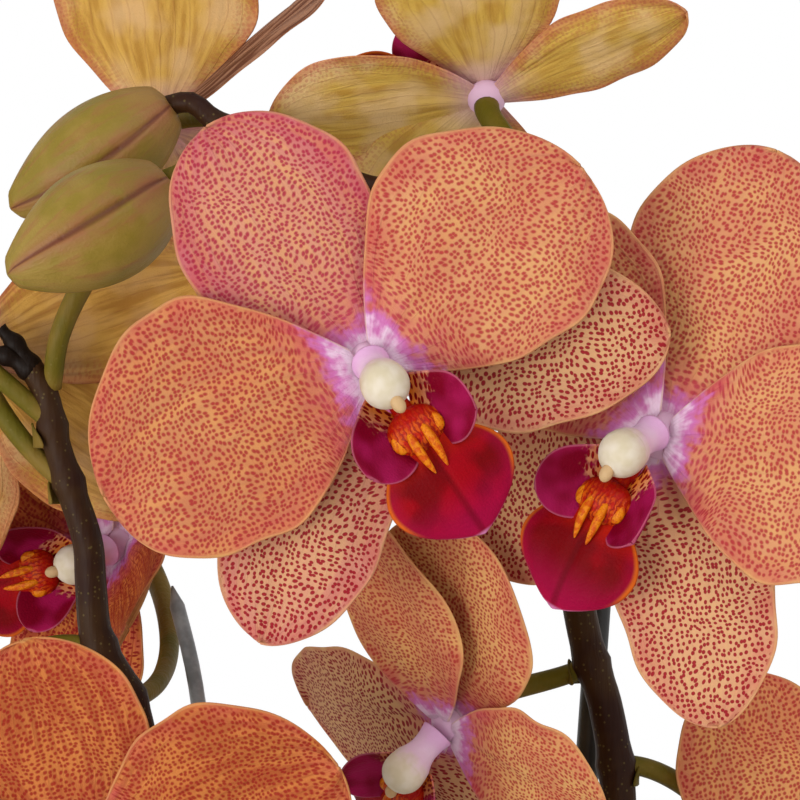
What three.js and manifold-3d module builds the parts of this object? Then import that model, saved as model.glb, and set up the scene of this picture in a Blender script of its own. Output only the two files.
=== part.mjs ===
// Potted moth orchid with fire coloured, spotted blooms on two staked flower spikes.
// Millimetres, +Z up. The origin is the centre of the pot's underside, and the blooms face -Y.
import * as THREE from 'three';
import { mergeVertices } from 'three/addons/utils/BufferGeometryUtils.js';
import Module from 'manifold-3d';

const wasm = await Module();
wasm.setup();

// Driving dimensions
const GAP = 0.3; // clearance between two pieces that touch
const POT = {
  height: 112, footRadius: 45, topRadius: 62, rim: 2.2, wall: 4.5, floor: 6, foot: 1.5, collar: 7, sides: 26,
};
const GOLDEN_ANGLE = 137.5; // degrees from one chip or scale to the next
const BARK = { top: 101, chips: 17, chipLength: 13, seed: 7 };
const STEM = { foot: 90, top: 140, radius: 9 };
const TEPAL_THICKNESS = 0.8;
const LIP_THICKNESS = 0.8;
const LEAF_THICKNESS = 2.0;
const LEAF_SINK = 5; // how far from the stem's axis a leaf's foot starts
const TEPAL_START = 2; // how far from the bloom's heart a tepal's foot starts
const RECEPTACLE = { across: 4.2, deep: 2.9, back: -1.4 };
const STALK = { radius: 1.5, swell: 0.5 }; // the slim stalk of a bloom or a bud, thicker at its end
const BRACT = { atNode: 5, atStalk: 3.6 }; // the length of the scales on a spike
const ROOT_RADIUS = 2.7;
const CLIP = { wall: 1.3, height: 5, play: 0.7 };

// One colour and finish for each kind of tissue or ware
const MATERIALS = {
  glaze: new THREE.MeshStandardMaterial({ color: 0xe9e4da, roughness: 0.25 }),
  bark: new THREE.MeshStandardMaterial({ color: 0x6b4630, roughness: 0.95 }),
  root: new THREE.MeshStandardMaterial({ color: 0x9aa58a, roughness: 0.8 }),
  leaf: new THREE.MeshStandardMaterial({ color: 0x2f5a2a, roughness: 0.4 }),
  spike: new THREE.MeshStandardMaterial({ color: 0x4a4a2c, roughness: 0.5 }),
  stake: new THREE.MeshStandardMaterial({ color: 0x17171a, roughness: 0.5 }),
  wire: new THREE.MeshStandardMaterial({ color: 0x8f9499, roughness: 0.5 }),
  clip: new THREE.MeshStandardMaterial({ color: 0x4f7d3a, roughness: 0.4 }),
  tepal: new THREE.MeshStandardMaterial({ color: 0xe58a4e, roughness: 0.5 }),
  lip: new THREE.MeshStandardMaterial({ color: 0x9c1238, roughness: 0.4 }),
  column: new THREE.MeshStandardMaterial({ color: 0xe9b7dd, roughness: 0.4 }),
  bud: new THREE.MeshStandardMaterial({ color: 0x8f8438, roughness: 0.4 }),
};

// The three kinds of tepal. Length, width, level and ruffle are millimetres, rise, bend and tilt are
// degrees, and claw, belly, skew and cup are shares of the width or of the length.
const DORSAL = {
  length: 39, width: 28.5, claw: 0.22, belly: 0.54, point: 0.5, skew: 0,
  level: -1.4, rise: 3, bend: -8, tilt: 0, cup: 0.06, ruffle: 0.4, waves: 1.5,
};
const PETAL = {
  length: 38.5, width: 34, claw: 0.18, belly: 0.53, point: 0.48, skew: 0.1,
  level: 0.8, rise: 9, bend: -14, tilt: 0, cup: 0.05, ruffle: 0.8, waves: 1.8,
};
const LATERAL = {
  length: 40.5, width: 24.5, claw: 0.26, belly: 0.5, point: 0.58, skew: 0.06,
  level: -1.4, rise: 0, bend: -6, tilt: 0, cup: 0.06, ruffle: 0.4, waves: 1.3,
};
// The order in which a bloom's angles are given, clockwise from its top as it is faced
const TEPALS = [
  { kind: DORSAL, hand: 1, columns: 3 },
  { kind: PETAL, hand: 1, columns: 4 },
  { kind: PETAL, hand: -1, columns: 4 },
  { kind: LATERAL, hand: 1, columns: 3 },
  { kind: LATERAL, hand: -1, columns: 3 },
];

// Each bloom's heart, the way it faces (turn to +X, lift to +Z), its roll, and its tepals' angles
const BLOOMS = [
  { name: 'a', at: [-4, -48, 435], turn: 0, lift: 0, roll: -34, size: 1,
    angles: [-1, 81, -82, 118, -124],
    changes: { 2: { length: 40, width: 36 } } },
  { name: 'b', at: [37, -38, 425], turn: -25, lift: 3, roll: 28, size: 1,
    angles: [-6, 76, -73, 140, -147],
    changes: { 0: { length: 42, width: 31 }, 4: { length: 33 } } },
  { name: 'c', at: [7, -6, 380.5], turn: -47, lift: -30, roll: 43, size: 0.96,
    angles: [-14, 76, -37, 146, -138],
    changes: {
      0: { width: 31 }, 1: { length: 32, width: 31 }, 2: { width: 24 }, 4: { width: 28, bend: -16 },
    } },
  { name: 'd', at: [-44.5, -32, 361], turn: 0, lift: -22, roll: -14, size: 1,
    angles: [0, 76, -87, 125, -125],
    changes: { 0: { length: 36 } } },
  { name: 'e', at: [-47, 36, 406], turn: -15, lift: -10, roll: 75, size: 0.95,
    angles: [-30, 48, -117, 128, -155],
    changes: { 1: { length: 30, width: 26, level: -0.8, rise: 58, bend: 16 } } },
  { name: 'f', at: [13.5, 12, 478], turn: 180, lift: 45, roll: -75, size: 0.88,
    angles: [16, 87, -118, 172, -142],
    changes: {
      0: { length: 38, width: 15, level: -1.9, tilt: 14 }, 2: { width: 28 }, 3: { length: 37 }, 4: { length: 34 },
    } },
  { name: 'g', at: [-38.5, 24, 473.5], turn: 180, lift: 0, roll: -45, size: 0.95,
    angles: [-5, 50, -100, 180, -132],
    changes: { 0: { tilt: 74, width: 17 }, 2: { length: 34 }, 3: { length: 22, width: 16 }, 4: { length: 32 } } },
  { name: 'h', at: [-67, 14, 437.5], turn: 180, lift: 0, roll: 95, size: 0.95,
    angles: [0, 65, -55, 140, -167],
    changes: { 4: { level: -2.6 } } },
  { name: 'i', at: [60.8, -2, 350], turn: 0, lift: 0, roll: -13, size: 0.95,
    angles: [0, 87, -84, 125, -140] },
  { name: 'k', at: [-104, 30, 468], turn: 180, lift: 0, roll: 90, size: 0.92,
    angles: [0, 87, -87, 125, -125] },
];

// The two flower spikes, each with the radius of its two ends, how late it tapers, and its route
const LEFT_SPIKE = {
  name: 'flower_spike_left', thick: [3.4, 1.9], taper: 4,
  route: [
    [1, -6, 112], [0, -15.6, 124], [-8, -18, 150], [-20, -11, 210], [-29, -4, 280], [-37, 0, 345],
    [-41, 2, 382],
    [-46.5, 2, 393], [-47.5, 2, 401], [-48, 2, 408], [-50.5, 2, 416], [-53, 2, 424], [-54.5, 2, 431],
    [-57, 2, 435.5],
  ],
  nodes: [170, 235, 300, 351],
};
const RIGHT_SPIKE = {
  name: 'flower_spike_right', thick: [3.4, 1.6], taper: 2.2,
  route: [
    [1, 6, 112], [2, 15, 124], [6, 17, 150], [13, 11, 210], [22, 4, 280], [31.5, 0, 345], [33.5, 0, 368],
    [31.5, 0, 383], [29, 0, 391], [27, 0, 401], [25.5, 0, 418], [24.5, 0, 433], [23, 0, 445],
    [20.5, 0, 454], [15, 0, 460], [6, 0, 462], [-4.5, 0, 462.5], [-15, 0, 467], [-24.5, 0, 470.5],
    [-28.5, 0, 472.8], [-32, 0, 475.6], [-36.5, 1.5, 475],
  ],
  nodes: [165, 230, 292, 338],
};

// Where each bloom's stalk leaves its spike, how it sets off, and how far it runs up to the bloom
const STALKS = {
  left: [
    { bloom: 'd', from: [-46, 2, 392], setOff: [-26, 4, 4], run: 24 },
    { bloom: 'e', from: [-42, 2, 384], setOff: [12, 22, 0], run: 16 },
    { bloom: 'h', from: [-51, 2, 417], setOff: [-10, 4, 7], run: 6 },
    { bloom: 'k', from: [-53, 2, 426], setOff: [-20, -2, 18], run: 22 },
  ],
  right: [
    { bloom: 'i', from: [32.5, 0, 374], setOff: [14, 2, 2], run: 12 },
    { bloom: 'c', from: [29.5, 0, 389.5], setOff: [-8, 3, -4], run: 8 },
    { bloom: 'b', from: [27, 0, 402], setOff: [3, -9, 6], run: 12 },
    { bloom: 'a', from: [24.8, 0, 428], setOff: [-6, -10, 4], run: 16 },
    { bloom: 'f', from: [18.5, 0, 457], setOff: [3, 1, 12], run: 6 },
    { bloom: 'g', from: [-27, 0, 471.5], setOff: [0, 6, 4], run: 8 },
  ],
};

// The fat bud at the end of each spike, and the stalk of the left one
const BUDS = {
  left: { base: [-34.5, -13, 462.5], tip: [-58, -21, 448.5], radius: 9, roll: 20, sag: 1.2 },
  right: { base: [-35, 1, 475.5], tip: [-60, 3, 459.5], radius: 8, roll: -10, sag: 1.2 },
};
const BUD_STALK = [[-53.5, 2, 432], [-52, -1, 440], [-47, -2.5, 450], [-38, -5, 461.5], [-32.8, -11.8, 463.6]];

// The dead forked end of the left spike: where it starts, and where its two prongs end
const FORK = { foot: [-56.5, 2, 434.5], prongs: [[-61.5, 2, 441], [-63.5, 1, 437.5]] };

// The strap leaves in two ranks, lowest first
const LEAVES = [
  { azimuth: 172, base: 112, length: 172, width: 62, rise: 24, bend: -66 },
  { azimuth: -12, base: 116, length: 180, width: 64, rise: 24, bend: -68 },
  { azimuth: 196, base: 121, length: 158, width: 60, rise: 38, bend: -62 },
  { azimuth: 14, base: 125, length: 164, width: 60, rise: 38, bend: -62 },
  { azimuth: 184, base: 130, length: 118, width: 50, rise: 54, bend: -48 },
  { azimuth: -4, base: 134, length: 96, width: 42, rise: 64, bend: -40 },
];

// The thick roots: their bearing, how far out they run, and how high they arch above the bark
const ROOTS = [
  { bearing: 40, reach: 34, arch: 9 },
  { bearing: 108, reach: 40, arch: 7 },
  { bearing: 140, reach: 30, arch: 8 },
  { bearing: 215, reach: 42, arch: 8 },
  { bearing: 272, reach: 33, arch: 10 },
  { bearing: 326, reach: 44, arch: 9 },
];
// The roots that hang over the rim, and how far they drop
const HANGING_ROOTS = [
  { bearing: 292, drop: 46 },
  { bearing: 238, drop: 30 },
];

// The black stake behind the right spike and the grey wire behind the left one
const STAKES = [
  { name: 'stake_black', material: 'stake', radius: 1.9, sides: 7, steps: 1,
    route: [[4, 27, 8], [31.3, 8.5, 404]] },
  { name: 'stake_grey', material: 'wire', radius: 1.2, sides: 6, steps: 12,
    route: [
      [-8, -28, 8], [-8, -28, 130], [-13, -13, 215], [-24, 0, 300], [-28.5, 8, 350], [-32, 14, 385],
      [-36, 18.6, 400.6],
    ] },
];
const CLIPS = [
  { name: 'clip_right_low', spike: 'right', stake: 0, height: 205 },
  { name: 'clip_right_high', spike: 'right', stake: 0, height: 318 },
  { name: 'clip_left_low', spike: 'left', stake: 1, height: 215 },
  { name: 'clip_left_high', spike: 'left', stake: 1, height: 315 },
];

const vector = ([x, y, z]) => new THREE.Vector3(x, y, z);
const radians = THREE.MathUtils.degToRad;

// A repeatable stream of numbers from 0 to 1
function numberStream(seed) {
  let state = seed;
  return () => {
    state = (state + 0x6d2b79f5) | 0;
    let t = Math.imul(state ^ (state >>> 15), 1 | state);
    t = (t + Math.imul(t ^ (t >>> 7), 61 | t)) ^ t;
    return ((t ^ (t >>> 14)) >>> 0) / 4294967296;
  };
}

// Solids
function solidFrom(points, faces) {
  const vertProperties = new Float32Array(points.flatMap((p) => [p.x, p.y, p.z]));
  const triVerts = new Uint32Array(faces.flat());
  return new wasm.Manifold(new wasm.Mesh({ numProp: 3, vertProperties, triVerts }));
}

function solidOfGeometry(geometry) {
  const bare = new THREE.BufferGeometry();
  bare.setAttribute('position', geometry.getAttribute('position'));
  bare.setIndex(geometry.index);
  const merged = mergeVertices(bare, 1e-3);
  return new wasm.Manifold(new wasm.Mesh({
    numProp: 3,
    vertProperties: new Float32Array(merged.attributes.position.array),
    triVerts: new Uint32Array(merged.index.array),
  }));
}

const unite = (solids) => solids.reduce((whole, next) => whole.add(next));

// The largest of the separate bodies of a solid
function largestBody(solid) {
  const bodies = solid.decompose();
  return bodies.reduce((best, next) => (next.volume() > best.volume() ? next : best));
}

function meshOf(name, solid, material) {
  const made = solid.getMesh();
  const geometry = new THREE.BufferGeometry();
  geometry.setAttribute('position', new THREE.BufferAttribute(new Float32Array(made.vertProperties), 3));
  geometry.setIndex(new THREE.BufferAttribute(new Uint32Array(made.triVerts), 1));
  geometry.computeVertexNormals();
  const mesh = new THREE.Mesh(geometry, MATERIALS[material]);
  mesh.name = name;
  return mesh;
}

// A closed sheet: a grid of points, its copy behind it, and a rim. Both faces are split alike.
function bladeSolid(pointAt, rows, columns, thickness) {
  const step = 1e-3;
  const front = [];
  const back = [];
  for (let i = 0; i <= rows; i += 1) {
    const u = 1 - (1 - i / rows) ** 1.5;
    for (let j = 0; j <= columns; j += 1) {
      const v = (2 * j) / columns - 1;
      const lowU = Math.max(0, u - step);
      const highU = Math.min(1, u + step);
      const along = pointAt(highU, v).sub(pointAt(lowU, v));
      const across = pointAt(u, Math.min(1, v + step)).sub(pointAt(u, Math.max(-1, v - step)));
      const normal = across.cross(along).normalize();
      const point = pointAt(u, v);
      front.push(point.clone().addScaledVector(normal, thickness / 2));
      back.push(point.clone().addScaledVector(normal, -thickness / 2));
    }
  }
  const index = (i, j) => i * (columns + 1) + j;
  const behind = front.length;
  const faces = [];
  for (let i = 0; i < rows; i += 1) {
    for (let j = 0; j < columns; j += 1) {
      const [a, b, c, d] = [index(i, j), index(i, j + 1), index(i + 1, j + 1), index(i + 1, j)];
      faces.push([a, b, c], [a, c, d]);
      faces.push([behind + a, behind + c, behind + b], [behind + a, behind + d, behind + c]);
    }
  }
  const edge = [];
  for (let j = 0; j < columns; j += 1) edge.push(index(0, j));
  for (let i = 0; i < rows; i += 1) edge.push(index(i, columns));
  for (let j = columns; j > 0; j -= 1) edge.push(index(rows, j));
  for (let i = rows; i > 0; i -= 1) edge.push(index(i, 0));
  edge.forEach((p, k) => {
    const q = edge[(k + 1) % edge.length];
    faces.push([q, p, behind + p], [q, behind + p, behind + q]);
  });
  return solidFrom([...front, ...back], faces);
}

// A closed tube along a curve, with a radius for each place along it and each angle round it
function tubeSolid(curve, radiusAt, steps, sides) {
  const frames = curve.computeFrenetFrames(steps, false);
  const points = [];
  for (let i = 0; i <= steps; i += 1) {
    const centre = curve.getPointAt(i / steps);
    for (let k = 0; k < sides; k += 1) {
      const angle = (2 * Math.PI * k) / sides;
      const radius = radiusAt(i / steps, angle);
      points.push(centre.clone()
        .addScaledVector(frames.normals[i], radius * Math.cos(angle))
        .addScaledVector(frames.binormals[i], radius * Math.sin(angle)));
    }
  }
  const foot = points.push(curve.getPointAt(0)) - 1;
  const top = points.push(curve.getPointAt(1)) - 1;
  const faces = [];
  for (let k = 0; k < sides; k += 1) {
    const next = (k + 1) % sides;
    faces.push([foot, next, k]);
    faces.push([top, steps * sides + k, steps * sides + next]);
    for (let i = 0; i < steps; i += 1) {
      const [a, b] = [i * sides + k, i * sides + next];
      faces.push([a, b, b + sides], [a, b + sides, a + sides]);
    }
  }
  return solidFrom(points, faces);
}

const routeCurve = (route) => new THREE.CatmullRomCurve3(route.map(vector), false, 'centripetal');

function latheSolid(profile, sides) {
  const geometry = new THREE.LatheGeometry(profile.map(([r, z]) => new THREE.Vector2(r, z)), sides);
  geometry.rotateX(Math.PI / 2);
  return solidOfGeometry(geometry);
}

// Blooms
// Half width of a tepal, as a share of its greatest half width, at a share u of its length
function outline(tepal, u) {
  if (u < tepal.belly) {
    return tepal.claw + (1 - tepal.claw) * Math.sin((Math.PI / 2) * (u / tepal.belly));
  }
  const x = (0.965 * (u - tepal.belly)) / (1 - tepal.belly);
  return (1 - x * x) ** tepal.point;
}

// A point of a tepal in the bloom's frame: x right, y to its top, z out of its face
function tepalPoint(tepal, hand, angle, u, v) {
  const start = radians(tepal.rise);
  const turn = radians(tepal.bend);
  const slope = start + turn * u;
  const out = TEPAL_START + (tepal.length / turn) * (Math.sin(slope) - Math.sin(start));
  const up = tepal.level - (tepal.length / turn) * (Math.cos(slope) - Math.cos(start));
  const half = (tepal.width / 2) * outline(tepal, u);
  const lean = -hand * tepal.skew * tepal.width * u * (1 - u) * 2;
  const wave = tepal.ruffle * Math.abs(v) ** 3 * Math.sin(tepal.waves * 2 * Math.PI * u + 1.3 * hand);
  const roll = radians(tepal.tilt);
  const flat = half * v;
  const lift = tepal.cup * half * v * v + wave * u;
  const across = lean + flat * Math.cos(roll) - lift * Math.sin(roll);
  const rise = flat * Math.sin(roll) + lift * Math.cos(roll);
  const along = out - rise * Math.sin(slope);
  const a = radians(angle);
  return new THREE.Vector3(
    along * Math.sin(a) + across * Math.cos(a),
    along * Math.cos(a) - across * Math.sin(a),
    up + rise * Math.cos(slope),
  );
}

// A sheet that starts at a place and runs along one direction, in the bloom's frame
function lobePoint(lobe, u, v) {
  const along = vector(lobe.along).normalize();
  const face = vector(lobe.face);
  face.addScaledVector(along, -face.dot(along)).normalize();
  const across = along.clone().cross(face);
  const turn = radians(lobe.bend);
  const slope = turn * u;
  const half = (lobe.width / 2) * outline(lobe, u);
  const lift = lobe.cup * half * v * v;
  const out = (lobe.length / turn) * Math.sin(slope) - lift * Math.sin(slope);
  const up = -(lobe.length / turn) * (Math.cos(slope) - 1) + lift * Math.cos(slope);
  return vector(lobe.at)
    .addScaledVector(along, out)
    .addScaledVector(across, half * v)
    .addScaledVector(face, up);
}

const MID_LOBE = {
  at: [0, -12.2, 7], along: [0, -0.94, 0.3], face: [0, 0.3, 0.94],
  length: 16.5, width: 19, claw: 0.36, belly: 0.48, point: 0.55, bend: -42, cup: -0.18, columns: 3,
};
const sideLobe = (hand) => ({
  at: [hand * 1.8, -8.2, 5], along: [hand * 0.68, -0.45, 0.58], face: [-hand * 0.62, 0, 0.76],
  length: 10.5, width: 10.5, claw: 0.72, belly: 0.5, point: 0.38, bend: 34, cup: 0.28, columns: 2,
});
const LIP_CLAW = {
  route: [[0, -3.92, 2.1], [0, -7.2, 4.2], [0, -11.2, 6.4]], thin: 1.2, swell: 1, flat: 0.55,
};
const CALLUS = { at: [0, -11.2, 6.6], reach: [4.2, 3.4, 3] };
const COLUMN = [[0, 0.2, 2.2], [0, -0.8, 4.2], [0, -2.2, 7], [0, -3.7, 10], [0, -4.6, 12]];
const COLUMN_RADII = [2.7, 2.4, 2.6, 3.5, 1.4];

// A value read between the entries of an evenly spaced list
function between(list, t) {
  const place = Math.min(t * (list.length - 1), list.length - 1.001);
  const k = Math.floor(place);
  return THREE.MathUtils.lerp(list[k], list[k + 1], place - k);
}

function tepalsSolid(bloom) {
  const heart = new THREE.SphereGeometry(1, 6, 4);
  heart.scale(RECEPTACLE.across, RECEPTACLE.across, RECEPTACLE.deep);
  heart.translate(0, 0, RECEPTACLE.back);
  const sheets = TEPALS.map(({ kind, hand, columns }, k) => {
    const tepal = { ...kind, ...(bloom.changes?.[k] ?? {}) };
    const pointAt = (u, v) => tepalPoint(tepal, hand, bloom.angles[k], u, v);
    return bladeSolid(pointAt, 4, columns, TEPAL_THICKNESS);
  });
  return unite([solidOfGeometry(heart), ...sheets]);
}

function lipSolid() {
  const { route, thin, swell, flat } = LIP_CLAW;
  const clawRadius = (t, angle) => (thin + swell * t) * (1 - flat * Math.abs(Math.cos(angle)));
  const claw = tubeSolid(routeCurve(route), clawRadius, 2, 5);
  const lobes = [MID_LOBE, sideLobe(1), sideLobe(-1)].map((lobe) => (
    bladeSolid((u, v) => lobePoint(lobe, u, v), 3, lobe.columns, LIP_THICKNESS)));
  const callus = new THREE.OctahedronGeometry(1, 0);
  callus.scale(...CALLUS.reach);
  callus.translate(...CALLUS.at);
  return unite([claw, ...lobes, solidOfGeometry(callus)]);
}

function columnSolid() {
  return tubeSolid(routeCurve(COLUMN), (t) => between(COLUMN_RADII, t), 4, 6);
}

// The matrix that carries a bloom's own frame to its place on the plant
function bloomPlace(bloom) {
  const turn = radians(bloom.turn);
  const lift = radians(bloom.lift);
  const roll = radians(bloom.roll);
  const face = new THREE.Vector3(
    Math.sin(turn) * Math.cos(lift), -Math.cos(turn) * Math.cos(lift), Math.sin(lift));
  const side = new THREE.Vector3(Math.cos(turn), Math.sin(turn), 0);
  const top = face.clone().cross(side);
  const right = side.clone().multiplyScalar(Math.cos(roll)).addScaledVector(top, -Math.sin(roll));
  const up = top.clone().multiplyScalar(Math.cos(roll)).addScaledVector(side, Math.sin(roll));
  const place = new THREE.Matrix4().makeBasis(right, up, face);
  place.scale(new THREE.Vector3(bloom.size, bloom.size, bloom.size));
  return place.setPosition(vector(bloom.at));
}

function bloomMeshes(bloom) {
  const place = bloomPlace(bloom);
  const pieces = [
    meshOf(`bloom_${bloom.name}_tepals`, tepalsSolid(bloom), 'tepal'),
    meshOf(`bloom_${bloom.name}_lip`, lipSolid(), 'lip'),
    meshOf(`bloom_${bloom.name}_column`, columnSolid(), 'column'),
  ];
  const holder = new THREE.Group();
  holder.applyMatrix4(place);
  holder.add(...pieces);
  return holder;
}

// Spikes
function stalkSolid(stalk) {
  const bloom = BLOOMS.find(({ name }) => name === stalk.bloom);
  const place = bloomPlace(bloom);
  const face = new THREE.Vector3().setFromMatrixColumn(place, 2).normalize();
  const behind = (RECEPTACLE.deep - RECEPTACLE.back) * bloom.size + GAP;
  const end = vector(bloom.at).addScaledVector(face, -behind);
  const start = vector(stalk.from);
  const curve = new THREE.CubicBezierCurve3(
    start,
    start.clone().add(vector(stalk.setOff)),
    end.clone().addScaledVector(face, -stalk.run),
    end,
  );
  return tubeSolid(curve, (t) => STALK.radius + STALK.swell * t * t, 5, 5);
}

// A small pointed scale that sits against the spike below a stalk or a node
function bractSolid(at, lean, size) {
  const cone = new THREE.ConeGeometry(size * 0.5, size * 1.6, 4);
  cone.translate(0, size * 0.6, 0);
  const upright = new THREE.Vector3(0, 1, 0);
  const turn = new THREE.Quaternion().setFromUnitVectors(upright, vector(lean).normalize());
  cone.applyQuaternion(turn);
  cone.translate(...at);
  return solidOfGeometry(cone);
}

function spikeRadius(spike, t) {
  return THREE.MathUtils.lerp(spike.thick[0], spike.thick[1], t ** spike.taper);
}

// The place on a route at a given height
function placeAtHeight(curve, height) {
  let low = 0;
  let high = 1;
  for (let k = 0; k < 30; k += 1) {
    const middle = (low + high) / 2;
    if (curve.getPointAt(middle).z < height) low = middle;
    else high = middle;
  }
  return curve.getPointAt(low);
}

function spikeSolid(spike, stalks, grow) {
  const curve = routeCurve(spike.route);
  const steps = spike.route.length + 2;
  const stem = tubeSolid(curve, (t) => spikeRadius(spike, t) + grow, steps, 6);
  if (grow > 0) return stem;
  const nodeBracts = spike.nodes.map((height, k) => {
    const at = placeAtHeight(curve, height);
    const side = k % 2 === 0 ? 1 : -1;
    return bractSolid([at.x + side * 1.8, at.y, at.z], [side * 0.35, 0, 1], BRACT.atNode);
  });
  const stalkBracts = stalks.map(({ from, setOff }) => {
    const out = vector(setOff).setZ(0).normalize();
    const at = [from[0] + out.x, from[1] + out.y, from[2] - 1.6];
    return bractSolid(at, [out.x * 0.8, out.y * 0.8, 0.7], BRACT.atStalk);
  });
  return unite([stem, ...stalks.map(stalkSolid), ...nodeBracts, ...stalkBracts]);
}

// A fat closed bud of three sepals, which meet in shallow seams
function budSolid(bud, stalk) {
  const base = vector(bud.base);
  const tip = vector(bud.tip);
  const sag = new THREE.Vector3(0, 0, -bud.sag);
  const middle = base.clone().add(tip).multiplyScalar(0.5).add(sag);
  const curve = new THREE.QuadraticBezierCurve3(base, middle, tip);
  const roll = radians(bud.roll);
  const closed = tubeSolid(curve, (t, angle) => {
    const belly = Math.max(0.12, Math.sin(Math.PI * (0.06 + 0.9 * t) ** 0.86) ** 0.75);
    const seam = 1 - 0.07 * Math.exp(-(Math.cos(1.5 * (angle - roll)) ** 2) / 0.06);
    return bud.radius * belly * seam;
  }, 8, 10);
  return largestBody(closed.subtract(stalk));
}

function budStalkSolid(grow) {
  return tubeSolid(routeCurve(BUD_STALK), (t) => STALK.radius + STALK.swell * t + grow, 8, 6);
}

function forkSolid() {
  const foot = vector(FORK.foot);
  return unite(FORK.prongs.map((end) => {
    const tip = vector(end);
    const middle = foot.clone().lerp(tip, 0.5).add(new THREE.Vector3(0, 0, 0.6));
    return tubeSolid(new THREE.QuadraticBezierCurve3(foot, middle, tip), (t) => 1.9 - 0.9 * t, 3, 6);
  }));
}

// Foliage, roots and what holds them
function leafPoint(leaf, u, v) {
  const start = radians(leaf.rise);
  const turn = radians(leaf.bend);
  const slope = start + turn * u;
  const out = leaf.start + (leaf.length / turn) * (Math.sin(slope) - Math.sin(start));
  const up = leaf.base - (leaf.length / turn) * (Math.cos(slope) - Math.cos(start));
  const shape = { claw: 0.24, belly: 0.58, point: 0.5 };
  const half = (leaf.width / 2) * outline(shape, u);
  const fold = half * Math.abs(v) * (0.75 * (1 - u) ** 3 + 0.12) + 0.5 * Math.sin(7 * u + leaf.azimuth) * v;
  const along = out - fold * Math.sin(slope);
  const a = radians(leaf.azimuth);
  return new THREE.Vector3(
    along * Math.cos(a) + half * v * Math.sin(a),
    along * Math.sin(a) - half * v * Math.cos(a),
    up + fold * Math.cos(slope),
  );
}

function leafSolid(leaf, grow) {
  const wider = { ...leaf, width: leaf.width + 2 * grow, start: LEAF_SINK - grow };
  return bladeSolid((u, v) => leafPoint(wider, u, v), 7, 4, LEAF_THICKNESS + 2 * grow);
}

const bearingPoint = (bearing, radius, z) => [
  radius * Math.cos(radians(bearing)), radius * Math.sin(radians(bearing)), z];

function rootCurve({ bearing, reach, arch, drop }) {
  if (drop) {
    const rim = POT.topRadius + POT.rim;
    return routeCurve([
      bearingPoint(bearing, 3, 108), bearingPoint(bearing, 20, 111), bearingPoint(bearing + 4, 42, 116),
      bearingPoint(bearing + 5, rim - 5, POT.height + 4.6),
      bearingPoint(bearing + 6, rim + 1.6, POT.height + 3.2),
      bearingPoint(bearing + 7, rim + 3.6, POT.height - 4),
      bearingPoint(bearing + 8, rim + 2.2, POT.height - drop * 0.6),
      bearingPoint(bearing + 6, rim + 0.6, POT.height - drop),
    ]);
  }
  return routeCurve([
    bearingPoint(bearing, 3, 106), bearingPoint(bearing, 14, 106 + arch * 0.7),
    bearingPoint(bearing + 8, reach * 0.6, 105 + arch), bearingPoint(bearing + 10, reach * 0.88, 104),
    bearingPoint(bearing + 10, reach, 94),
  ]);
}

function rootSolid(root, grow) {
  const steps = root.drop ? 9 : 5;
  return tubeSolid(rootCurve(root), (t) => ROOT_RADIUS * (1 - 0.3 * t * t) + grow, steps, 5);
}

function stemSolid(grow) {
  const curve = routeCurve([[0, 0, STEM.foot], [0, 0, 115], [0, 0, STEM.top]]);
  const radiusAt = (t, angle) => STEM.radius * (1.08 - 0.35 * t * t) * (1 - 0.12 * Math.cos(angle) ** 2);
  return tubeSolid(curve, (t, angle) => radiusAt(t, angle) + grow, 4, 8);
}

function stakeSolid(stake, grow) {
  return tubeSolid(routeCurve(stake.route), () => stake.radius + grow, stake.steps, stake.sides);
}

// Radius of the pot's inside at a height
function insideRadius(z) {
  const { height, footRadius, topRadius, wall, floor, foot } = POT;
  const share = (z - floor) / (height - foot - floor);
  return THREE.MathUtils.lerp(footRadius + foot - wall, topRadius - wall, share);
}

function potSolid() {
  const { height, footRadius, topRadius, rim, floor, foot, collar, sides } = POT;
  const innerTop = insideRadius(height - foot);
  return latheSolid([
    [0, 0], [footRadius - foot, 0], [footRadius, foot],
    [(footRadius + topRadius) / 2 + 0.6, height / 2],
    [topRadius, height - collar], [topRadius + rim, height - collar + foot], [topRadius + rim, height - 1],
    [topRadius + rim - foot, height], [innerTop + 1, height], [innerTop, height - foot],
    [insideRadius(floor), floor], [0, floor],
  ], sides);
}

// One lump of bark, tumbled by the stream of numbers and kept inside a given reach of the pot's axis
function chipSolid(draw, distance, bearing, reach) {
  const half = BARK.chipLength * (0.6 + 0.4 * draw());
  const chip = new THREE.BoxGeometry(1.6 * half, half * (0.9 + 0.4 * draw()), 5.4 + 2.2 * draw());
  chip.rotateY(0.5 * (draw() - 0.5));
  chip.rotateZ(2 * Math.PI * draw());
  const kept = Math.min(distance, reach - half);
  chip.translate(...bearingPoint(bearing, kept, BARK.top + 0.4 + 1.6 * draw()));
  return solidOfGeometry(chip);
}

// Bark in the pot: a plug under a layer of loose chips, with a plain hole for each thing that stands in it
function barkSolid() {
  const clearance = 2 * GAP;
  const foot = POT.floor + GAP;
  const reach = insideRadius(BARK.top) - clearance;
  const plug = latheSolid([
    [0, foot], [insideRadius(foot) - clearance, foot], [reach, BARK.top], [0, BARK.top],
  ], POT.sides);
  const draw = numberStream(BARK.seed);
  const chips = [];
  for (let k = 0; k < BARK.chips; k += 1) {
    const distance = reach * Math.sqrt((k + 0.5) / BARK.chips);
    chips.push(chipSolid(draw, distance, k * GOLDEN_ANGLE, reach - 2));
  }
  const standing = [
    stemSolid(GAP),
    ...ROOTS.map((root) => rootSolid(root, GAP + 0.1)),
    ...STAKES.map((stake) => stakeSolid(stake, GAP)),
  ];
  return largestBody(unite([plug, ...chips]).subtract(unite(standing)));
}

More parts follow.
